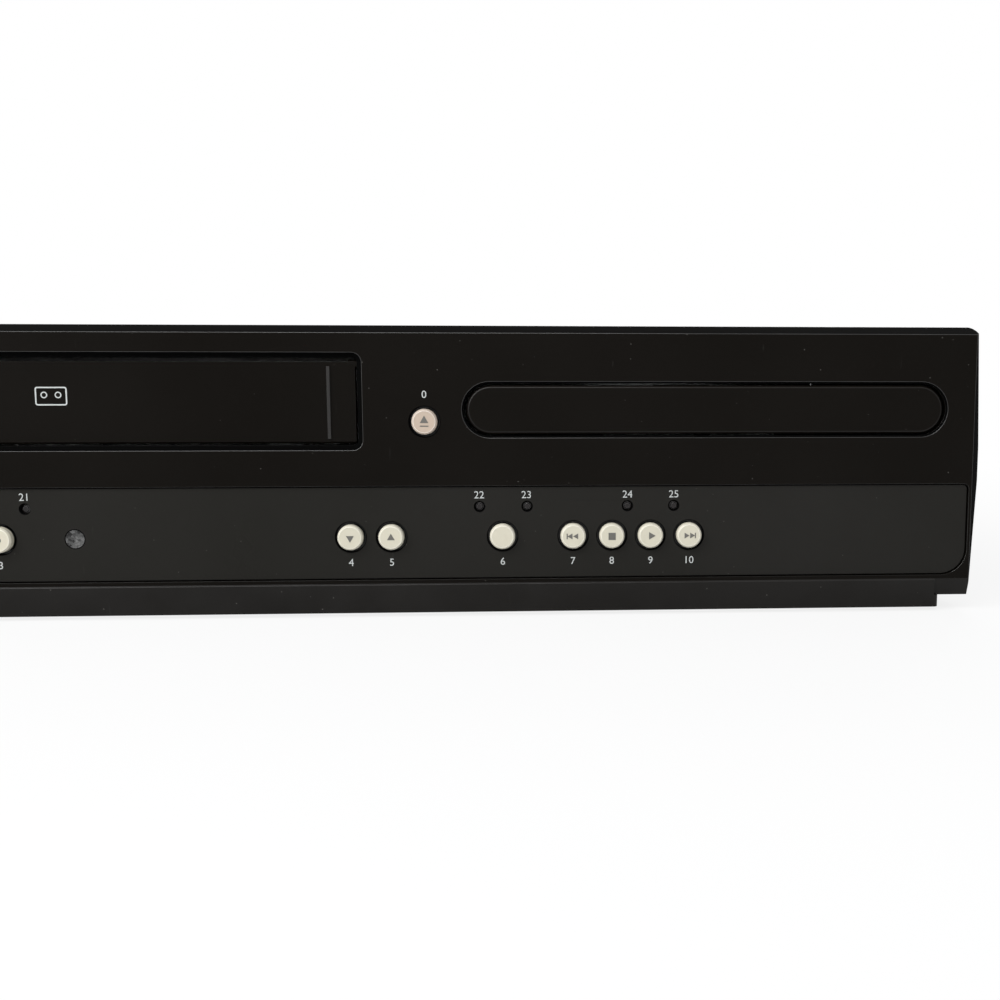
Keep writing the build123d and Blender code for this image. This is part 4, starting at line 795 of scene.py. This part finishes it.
softened = {
    "front_fascia": ("mouldedFascia", 0.0004),
    "control_panel": ("mouldedPanel", 0.00018),
    "cassette_flap": ("mouldedFlap", 0.00032),
    "tray_front": ("mouldedTrayFront", 0.00022),
    "disc_tray": ("mouldedTray", 0.0003),
    "feet": ("mouldedFeet", 0.0006),
    "top_cover": ("foldedCover", 0.0003),
    "cord_gland": ("mouldedGland", 0.0003),
}

frontFaces = {"button": -0.1185, "fascia": -0.1172, "panel": -0.1164, "flap": -0.1150}  # Y of each face

frontPlaces = {
    "lampXs": (-199.0, -109.2, 42.5, 58.8, 93.4, 109.5),  # mm
    "lampZ": 38.0,  # mm
    "sockets": ((-0.184, "yellow"), (-0.170, "white"), (-0.156, "red")),
    "socketZ": 0.0277,
    "lens": (-0.0933, 0.0277),
}

holeReach = {"lamp": 0.0023, "socket": 0.0071, "lens": 0.0037, "button": 0.0060}
holeSink = {"nodes": {"front_fascia": "fascia", "control_panel": "panel"}, "width": 0.00028, "near": 0.00001}

# round holes of the front: X, Z and reach from the middle
frontHoles = [(x * mm, frontPlaces["lampZ"] * mm, holeReach["lamp"]) for x in frontPlaces["lampXs"]]
frontHoles += [(x, frontPlaces["socketZ"], holeReach["socket"]) for x, colour in frontPlaces["sockets"]]
frontHoles.append((*frontPlaces["lens"], holeReach["lens"]))
for nodeName in frame["nodes"]:
    if nodeName.endswith("_button"):
        low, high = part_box(nodeName)
        frontHoles.append(((low[0] + high[0]) / 2, (low[2] + high[2]) / 2, holeReach["button"]))


def besideHole(at):
    return any((at.x - x) ** 2 + (at.z - z) ** 2 < reach**2 for x, z, reach in frontHoles)


def sinkHoles(piece, faceY):
    def isRim(one, two):
        middle = (one + two) / 2
        return all(abs(at.y - faceY) < holeSink["near"] and besideHole(at) for at in (one, two, middle))

    bevelEdges(piece, isRim, holeSink["width"], 1)


def softenNode(nodeName, pieceName, width):
    piece = copyNode(nodeName, pieceName)
    if nodeName in holeSink["nodes"]:
        sinkHoles(piece, frontFaces[holeSink["nodes"][nodeName]])
    roundEdges(piece, width)
    finishPiece(piece, slotOf[nodeName], bodyOf[nodeName], nodeName)
    return piece


softPieces = {nodeName: softenNode(nodeName, *row) for nodeName, row in softened.items()}

# places of the front that lie in shade or turn away from the light
fasciaShade = {
    "turned": 0.5,  # share of the normal from which a face counts as turned that way
    "holeWall": -0.97,  # round the holes, all that faces the front less than this is in shade
    "slope": (-0.9, -0.3),
    "rim": 0.0968,  # above this the top turns back
    "rimShare": 0.85,
    "sideReach": 0.2144,
    "sideShare": 0.9,
    "bevelDepth": 0.0021,  # slopes round the flap and the tray, within the next three values
    "bevelReach": 0.206,
    "bevelLow": 0.05,
    "bevelHigh": 0.0925,
    "holeDepth": -0.1160,
    "panelFoot": 0.0129,
    "footRise": 0.001,
    "footDim": 0.4,
    "footSheen": 0.2,
    "trayDim": 0.2,
}


def isBevel(at, way):
    steep, shallow = fasciaShade["slope"]
    sloped = steep < way.y < shallow and at.y < frontFaces["fascia"] + fasciaShade["bevelDepth"]
    level = fasciaShade["bevelLow"] < at.z < fasciaShade["bevelHigh"]
    return sloped and level and abs(at.x) < fasciaShade["bevelReach"]


def isRimTop(at, way):
    return way.z > fasciaShade["turned"] and at.z > fasciaShade["rim"]


def isSide(at, way):
    return abs(way.x) > fasciaShade["turned"] and abs(at.x) > fasciaShade["sideReach"]


def isFoot(at, way):
    return at.z < fasciaShade["panelFoot"] and way.y < -fasciaShade["turned"]


def isHoleWall(at, way):
    return way.y > fasciaShade["holeWall"] and besideHole(at)


def isDeepInHole(at, way):
    return at.y > fasciaShade["holeDepth"] and besideHole(at)


fascia = softPieces["front_fascia"]
markFaces(fascia, "inShade", isRimTop, fasciaShade["rimShare"])
markFaces(fascia, "inShade", isSide, fasciaShade["sideShare"])
markFaces(fascia, "inShade", isBevel, 1.0)
for nodeName in ("front_fascia", "control_panel"):
    markFaces(softPieces[nodeName], "inShade", isHoleWall, 1.0)
    dimEdges(softPieces[nodeName], besideHole, 0.0)
markFaces(fascia, "inShade", isDeepInHole, 1.0)
dimEdges(fascia, lambda at: at.z < fasciaShade["panelFoot"] + fasciaShade["footRise"], fasciaShade["footDim"])
markFaces(fascia, "roundedEdge", isFoot, fasciaShade["footSheen"])
dimEdges(softPieces["tray_front"], lambda at: True, fasciaShade["trayDim"])

# the flap's two upright ridges catch the light
ridge = {"reach": 0.0924, "halfWidth": 0.0009, "faceAhead": -0.11508, "sheen": 0.55}
flapLow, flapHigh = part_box("cassette_flap")
flapMiddle = (flapLow[0] + flapHigh[0]) / 2


def isRidge(at, way):
    offRidge = abs(abs(at.x - flapMiddle) - ridge["reach"])
    return offRidge < ridge["halfWidth"] and at.y < ridge["faceAhead"]


markFaces(softPieces["cassette_flap"], "roundedEdge", isRidge, ridge["sheen"])
print("moulded pieces rounded")

# push buttons: rounded cap with a raised rim round a slightly sunk face, and its symbol

buttonCap = {
    "draft": 0.955,  # the cap narrows towards its face
    "draftDepth": 0.0008,
    "draftFacing": -0.3,
    "faceFacing": -0.99,
    "faceDepth": 0.0001,
    "faceInset": 0.00055,
    "faceSunk": 0.00016,
    "rimRounding": 0.00014,
    "rimAngle": 20.0,
    "symbolThickness": 0.00006,
    "ringLine": 0.00032,
}
buttonFace = frontFaces["button"]
symbolFace = buttonFace + buttonCap["faceSunk"] - buttonCap["symbolThickness"]

# each symbol is a list of arrows, dots and rings (centre, size) and bars (centre, width and height) in mm
symbols = {
    "tracking_down_button": [("down", (0.0, -0.1), 2.6)],
    "tracking_up_button": [("up", (0.0, -0.1), 2.6)],
    "previous_button": [
        ("bar", (-2.1, 0.0), (0.4, 1.9)),
        ("left", (-0.85, 0.0), 2.0),
        ("left", (1.1, 0.0), 2.0),
    ],
    "stop_button": [("bar", (0.0, -0.1), (2.5, 2.5))],
    "play_button": [("right", (0.15, 0.0), 2.6)],
    "next_button": [
        ("right", (-1.1, 0.0), 2.0),
        ("right", (0.85, 0.0), 2.0),
        ("bar", (2.1, 0.0), (0.4, 1.9)),
    ],
    "open_close_button": [("up", (0.0, 0.45), 2.9), ("bar", (0.0, -1.45), (2.9, 0.4))],
    "cassette_eject_button": [("up", (0.0, 0.45), 2.9), ("bar", (0.0, -1.45), (2.9, 0.4))],
    "record_button": [("dot", (0.0, 0.0), 2.2)],
    "power_button": [("ring", (0.0, 0.0), 2.7), ("bar", (0.0, 1.1), (0.36, 1.5))],
}
symbolTurn = {"up": 0.0, "left": -90.0, "down": -180.0, "right": -270.0, "bar": 45.0, "dot": 0.0, "ring": 0.0}
symbolSides = {"bar": 4, "dot": 24, "ring": 28}  # the arrows have three
arrowRadius = 0.58  # share of the arrow's size


def symbolRadius(shape, size):
    if shape == "bar":
        return 0.5 * math.sqrt(2)  # half the diagonal of a square of 1
    if shape in symbolSides:
        return 0.5 * size
    return arrowRadius * size


def addSymbolPart(shape, spot, size, x, z):
    bpy.ops.mesh.primitive_circle_add(
        vertices=symbolSides.get(shape, 3), radius=symbolRadius(shape, size), fill_type="NGON"
    )
    part = bpy.context.object
    part.rotation_euler = (math.radians(90), math.radians(symbolTurn[shape]), 0)
    bpy.ops.object.transform_apply(location=False, rotation=True, scale=False)
    part.scale = (size[0] * mm, mm, size[1] * mm) if shape == "bar" else (mm, mm, mm)
    part.location = (x + spot[0] * mm, symbolFace, z + spot[1] * mm)
    settle(part)
    editAll(part)
    if shape == "ring":
        cutMiddle(buttonCap["ringLine"])
    thicken(buttonCap["symbolThickness"])
    return part


def isCapFace(face, part):
    near = face.center.y < buttonFace + buttonCap[part + "Depth"]
    return near and face.normal.y < buttonCap[part + "Facing"]


def makeCap(nodeName):
    words = nodeName.split("_")
    name = words[0] + "".join(word.title() for word in words[1:])
    cap = copyNode(nodeName, name + "Cap")
    low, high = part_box(nodeName)
    x, z = (low[0] + high[0]) / 2, (low[2] + high[2]) / 2
    draft = buttonCap["draft"]
    selectFaces(cap, lambda face: isCapFace(face, "draft"))
    bpy.ops.transform.resize(value=(draft, 1.0, draft), center_override=(x, buttonFace, z))
    leaveEdit()
    selectFaces(cap, lambda face: isCapFace(face, "face"))
    bpy.ops.mesh.inset(thickness=buttonCap["faceInset"])
    bpy.ops.transform.translate(value=(0, buttonCap["faceSunk"], 0))
    leaveEdit()
    roundEdges(cap, buttonCap["rimRounding"], angle=buttonCap["rimAngle"])
    finishPiece(cap, slotOf[nodeName], bodyOf[nodeName], nodeName)
    if nodeName in symbols:
        parts = [addSymbolPart(*part, x, z) for part in symbols[nodeName]]
        symbol = joinPieces(parts, name + "Symbol")
        finishPiece(symbol, slotOf[nodeName], bodyOf[nodeName], ink=symbolInk)


for nodeName in sorted(frame["nodes"]):
    if nodeName.endswith("_button"):
        makeCap(nodeName)
print("buttons capped and marked")

# printed marks: plain numbers where the front carries its small print

printing = {
    "size": 0.0036,
    "thickness": 0.00004,
    "buttonZ": 18.8,  # mm, numbers under the buttons
    "lampZ": 41.9,
    "trayZ": 76.2,
    "buttonXs": {
        "1": -199.0,
        "2": -131.2,
        "3": -118.0,
        "4": -1.4,
        "5": 12.4,
        "6": 50.3,
        "7": 74.5,
        "8": 88.0,
        "9": 101.5,
        "10": 114.9,
    },
    "lampXs": {"20": -199.0, "21": -109.2, "22": 42.4, "23": 58.6, "24": 93.4, "25": 109.5},
    "trayXs": {"0": 24.3},
}


def addLabels(row, face):
    return [addLabel(text, x, printing[row + "Z"], face) for text, x in printing[row + "Xs"].items()]


def addLabel(text, x, z, face):
    bpy.ops.object.text_add(rotation=(math.radians(90), 0, 0))
    label = bpy.context.object
    label.data.body = text
    label.data.align_x = "CENTER"
    label.data.align_y = "CENTER"
    label.data.size = printing["size"]
    label.data.extrude = printing["thickness"] / 2
    label.data.resolution_u = 3
    pickOnly(label)
    bpy.ops.object.convert(target="MESH")
    label = bpy.context.object
    label.location = (x * mm, frontFaces[face] - printing["thickness"] / 2, z * mm)
    settle(label)
    return label


panelNumbers = joinPieces(addLabels("button", "panel") + addLabels("lamp", "panel"), "panelNumbers")
finishPiece(panelNumbers, "panel_plastic", "cabinet", ink=printInk)
fasciaNumber = joinPieces(addLabels("tray", "fascia"), "fasciaNumber")
finishPiece(fasciaNumber, "fascia_plastic", "cabinet", ink=printInk)
print("numbers printed")

# indicator lamps: light pipes with a narrower, rounded tip in the holes of the panel

lampPipe = {
    "front": -0.1153,
    "back": -0.1041,
    "radius": 0.0015,
    "tipInset": 0.00048,
    "tipReach": 0.0004,
    "rounding": 0.0002,
}


def makePipe():
    pipe = addAlongY(0.0, frontPlaces["lampZ"] * mm, lampPipe["front"], lampPipe["back"], lampPipe["radius"])
    selectFaces(pipe, lambda face: face.normal.y < -squarely)
    bpy.ops.mesh.inset(thickness=lampPipe["tipInset"])
    extrudeAlongY(-lampPipe["tipReach"])
    leaveEdit()
    roundEdges(pipe, lampPipe["rounding"], 3)
    return pipe


pipe = makePipe()
pipes = [copyTo(pipe, "pipe", (x * mm, 0, 0)) for x in frontPlaces["lampXs"]]
bpy.data.objects.remove(pipe)
finishPiece(joinPieces(pipes, "lampLightPipes"), "lamp_plastic", "cabinet", "indicator_lamps")

# infrared window: dark lens with an uneven, faceted face

irLens = {
    "radius": 0.0031,
    "sides": 24,
    "back": -0.1144,
    "outerRing": (0.0004, 0.0001),  # inset, depth
    "innerRing": (0.0009, 0.00015),
    "hollow": 0.00045,
    "roughCuts": 2,
    "roughness": 0.9,
    "seed": 4,
}


def makeLens():
    front = frontFaces["panel"]
    lens = addAlongY(*frontPlaces["lens"], front, irLens["back"], irLens["radius"], irLens["sides"])
    selectFaces(lens, lambda face: face.normal.y < -squarely)
    for inset, depth in (irLens["outerRing"], irLens["innerRing"]):
        bpy.ops.mesh.inset(thickness=inset, depth=-depth)
    bpy.ops.mesh.poke(offset=-irLens["hollow"])
    bpy.ops.mesh.select_more()
    bpy.ops.mesh.subdivide(
        number_cuts=irLens["roughCuts"],
        fractal=irLens["roughness"],
        fractal_along_normal=1.0,
        seed=irLens["seed"],
    )
    leaveEdit()
    for corner in lens.data.vertices:
        corner.co.y = max(corner.co.y, front)
    bpy.ops.object.shade_flat()
    return lens


finishPiece(makeLens(), "window_plastic", "cabinet", "infrared_window")
print("lamps and infrared window made")

# phono sockets: plated shells with coloured inserts, in the front and at the rear

phono = {
    "shellSides": 36,
    "insertSides": 32,
    "shellRadius": 0.00415,
    "shellWall": 0.0006,
    "boreRadius": 0.0016,
    "insertSunk": 0.0008,
    "insertGap": 0.00004,
    "boreDepth": 0.007,
    "boreShare": 0.9,  # how much of the insert's length is bored
    "rounding": 0.00015,
}
insertRadius = phono["shellRadius"] - phono["shellWall"]

frontSockets = {"tip": -0.1178, "shellRoot": -0.1083, "bodyCut": -0.10826, "bodyRounding": 0.0003}

rearSockets = {
    "tip": 0.1180,
    "shellRoot": 0.1099,
    "bodyCut": 0.10995,
    "bodyRounding": 0.00015,
    "corner": (70, 24),  # mm, X and Z of the first socket
    "pitch": (14, 15),
    "columns": (
        ("yellow", "yellow"),
        ("white", "white"),
        ("red", "red"),
        ("green", "blue"),
        ("black", "red"),
    ),
}

insertColours = {
    "yellow": (0.68, 0.46, 0.02),
    "white": (0.72, 0.72, 0.70),
    "red": (0.46, 0.02, 0.02),
    "green": (0.03, 0.26, 0.07),
    "blue": (0.02, 0.09, 0.38),
    "black": (0.012, 0.012, 0.012),
}
insertLook = {"darker": 0.86, "roughness": 0.42, "specular": 0.4}


def makeInsertFinish(name):
    colour = insertColours[name]
    patch = tuple(insertLook["darker"] * v for v in colour)
    return makePlastic(
        name + "Insert", colour, patch, insertLook["roughness"], specular=insertLook["specular"]
    )


insertFinishes = {name: makeInsertFinish(name) for name in insertColours}


def makeShell(tip, root, outward):
    low, high = sorted((tip, root))
    shell = addAlongY(0.0, 0.0, low, high, phono["shellRadius"], phono["shellSides"])
    selectFaces(shell, lambda face: face.normal.y * outward > squarely)
    bpy.ops.mesh.inset(thickness=phono["shellWall"])
    extrudeAlongY(-outward * phono["insertSunk"] * 2)
    leaveEdit()
    roundEdges(shell, phono["rounding"])
    return shell


def makeInsert(tip, outward):
    face = tip - outward * phono["insertSunk"]
    low, high = sorted((face, tip - outward * (phono["boreDepth"] + phono["insertSunk"])))
    insert = addAlongY(0.0, 0.0, low, high, insertRadius - phono["insertGap"], phono["insertSides"])
    selectFaces(insert, lambda face: face.normal.y * outward > squarely)
    bpy.ops.mesh.inset(thickness=insertRadius - phono["boreRadius"])
    extrudeAlongY(-outward * phono["boreDepth"] * phono["boreShare"])
    leaveEdit()
    roundEdges(insert, phono["rounding"])
    return insert


def makeSockets(group, sizes, outward, spots):
    shell = makeShell(sizes["tip"], sizes["shellRoot"], outward)
    insert = makeInsert(sizes["tip"], outward)
    shells = [copyTo(shell, "shell", (x, 0, z)) for x, z, colour in spots]
    finishPiece(joinPieces(shells, group + "SocketShells"), "bright_steel", "cabinet")
    for colour in dict.fromkeys(colour for x, z, colour in spots):
        inserts = [copyTo(insert, "insert", (x, 0, z)) for x, z, own in spots if own == colour]
        joined = joinPieces(inserts, group + colour.title() + "Inserts")
        finishPiece(joined, "switch_plastic", "cabinet", ink=insertFinishes[colour])
    bpy.data.objects.remove(shell)
    bpy.data.objects.remove(insert)


def makeSocketBody(nodeName, pieceName, sizes, keepLow, slotName):
    body = copyNode(nodeName, pieceName)
    cutBehind(body, sizes["bodyCut"], keepLow)
    roundEdges(body, sizes["bodyRounding"])
    finishPiece(body, slotName, "cabinet", nodeName)


frontSpots = [(x, frontPlaces["socketZ"], colour) for x, colour in frontPlaces["sockets"]]
makeSockets("front", frontSockets, -1.0, frontSpots)
makeSocketBody("front_input_jacks", "frontJackBodies", frontSockets, False, "switch_plastic")

cornerX, cornerZ = rearSockets["corner"]
pitchX, pitchZ = rearSockets["pitch"]
rearSpots = [
    ((cornerX + pitchX * column) * mm, (cornerZ + pitchZ * row) * mm, colour)
    for column, colours in enumerate(rearSockets["columns"])
    for row, colour in enumerate(colours)
]
makeSockets("rear", rearSockets, 1.0, rearSpots)
makeSocketBody("rear_sockets", "rearSocketBlock", rearSockets, True, "inner_plastic")
print("phono sockets made")

# case screws: pan heads with a cross recess

caseScrew = {
    "sides": 32,
    "headRadius": 0.0035,
    "head": 0.0020,
    "shank": 0.0015,
    "shankLength": 0.005,
    "slot": 0.0008,
    "cross": 0.0036,
    "sunk": 0.0011,
    "rounding": 0.0007,
    "smoothAngle": 40.0,
}

screwPlaces = {
    "rearFace": 0.1095,
    "rearXs": (-0.2, 0.0, 0.2),
    "rearZs": (0.013, 0.093),
    "sideFace": 0.2142,
    "sideYs": (-0.07, 0.085),
    "sideZ": 0.015,
}


def cutSlot(head, turn):
    bpy.ops.mesh.primitive_cube_add(size=1.0, location=(0, caseScrew["head"], 0))
    cutter = bpy.context.object
    cutter.scale = (caseScrew["cross"], 2 * caseScrew["sunk"], caseScrew["slot"])
    cutter.rotation_euler = (0, math.radians(turn), 0)
    settle(cutter)
    recess = head.modifiers.new("crossRecess", "BOOLEAN")
    recess.object = cutter
    recess.operation = "DIFFERENCE"
    pickOnly(head)
    bpy.ops.object.modifier_apply(modifier=recess.name)
    bpy.data.objects.remove(cutter)


def makeScrew():
    head = addAlongY(0.0, 0.0, 0.0, caseScrew["head"], caseScrew["headRadius"], caseScrew["sides"])
    selectFaces(head, lambda face: face.normal.y < -squarely)
    bpy.ops.mesh.inset(thickness=caseScrew["headRadius"] - caseScrew["shank"])
    extrudeAlongY(-caseScrew["shankLength"])
    leaveEdit()
    selectFaces(head, lambda face: face.normal.y > squarely)
    bpy.ops.mesh.bevel(offset=caseScrew["rounding"], segments=3, affect="EDGES")
    leaveEdit()
    for turn in (0.0, 90.0):
        cutSlot(head, turn)
    pickOnly(head)
    bpy.ops.object.shade_smooth_by_angle(angle=math.radians(caseScrew["smoothAngle"]))
    return head


screw = makeScrew()
screwSpots = [
    ((x, screwPlaces["rearFace"], z), 0.0) for x in screwPlaces["rearXs"] for z in screwPlaces["rearZs"]
]
screwSpots += [
    ((side * screwPlaces["sideFace"], y, screwPlaces["sideZ"]), -90.0 * side)
    for side in (-1, 1)
    for y in screwPlaces["sideYs"]
]
screws = [copyTo(screw, "screw", *spot) for spot in screwSpots]
bpy.data.objects.remove(screw)
finishPiece(joinPieces(screws, "crossHeadScrews"), "bright_steel", "cabinet", "case_screws")
print("screws made")

# flap: a plain drawing of a cassette where the flap carries its print

flapMark = {
    "place": (-0.0992, 0.0757),
    "size": (0.0104, 0.0062),
    "corner": 0.0008,
    "line": 0.00045,
    "reel": 0.0011,
    "reelSides": 20,
    "reelLine": 0.8,  # share of the outline's line
    "reelApart": 0.0046,
    "reelRise": 0.0004,
    "thickness": 0.00004,
}


def finishRing(ring, x, z, line, corner=0.0):
    ring.location = (x, frontFaces["flap"] - flapMark["thickness"], z)
    settle(ring)
    editAll(ring)
    if corner:
        bpy.ops.mesh.bevel(offset=corner, segments=4, affect="VERTICES")
        bpy.ops.mesh.select_all(action="SELECT")
    cutMiddle(line)
    thicken(flapMark["thickness"])
    return ring


def standUpright(shape):
    shape.rotation_euler = (math.radians(90), 0, 0)
    bpy.ops.object.transform_apply(location=False, rotation=True, scale=False)


def addOutline(x, z):
    bpy.ops.mesh.primitive_plane_add(size=1.0)
    outline = bpy.context.object
    standUpright(outline)
    outline.scale = (flapMark["size"][0], 1.0, flapMark["size"][1])
    return finishRing(outline, x, z, flapMark["line"], flapMark["corner"])


def addReel(x, z):
    bpy.ops.mesh.primitive_circle_add(
        vertices=flapMark["reelSides"], radius=flapMark["reel"], fill_type="NGON"
    )
    reel = bpy.context.object
    standUpright(reel)
    return finishRing(reel, x, z, flapMark["line"] * flapMark["reelLine"])


markX, markZ = flapMark["place"]
drawing = [addOutline(markX, markZ)]
for side in (-1, 1):
    drawing.append(addReel(markX + side * flapMark["reelApart"] / 2, markZ + flapMark["reelRise"]))
finishPiece(joinPieces(drawing, "flapDrawing"), "fascia_plastic", "flap", ink=printInk)
print("flap drawing made")
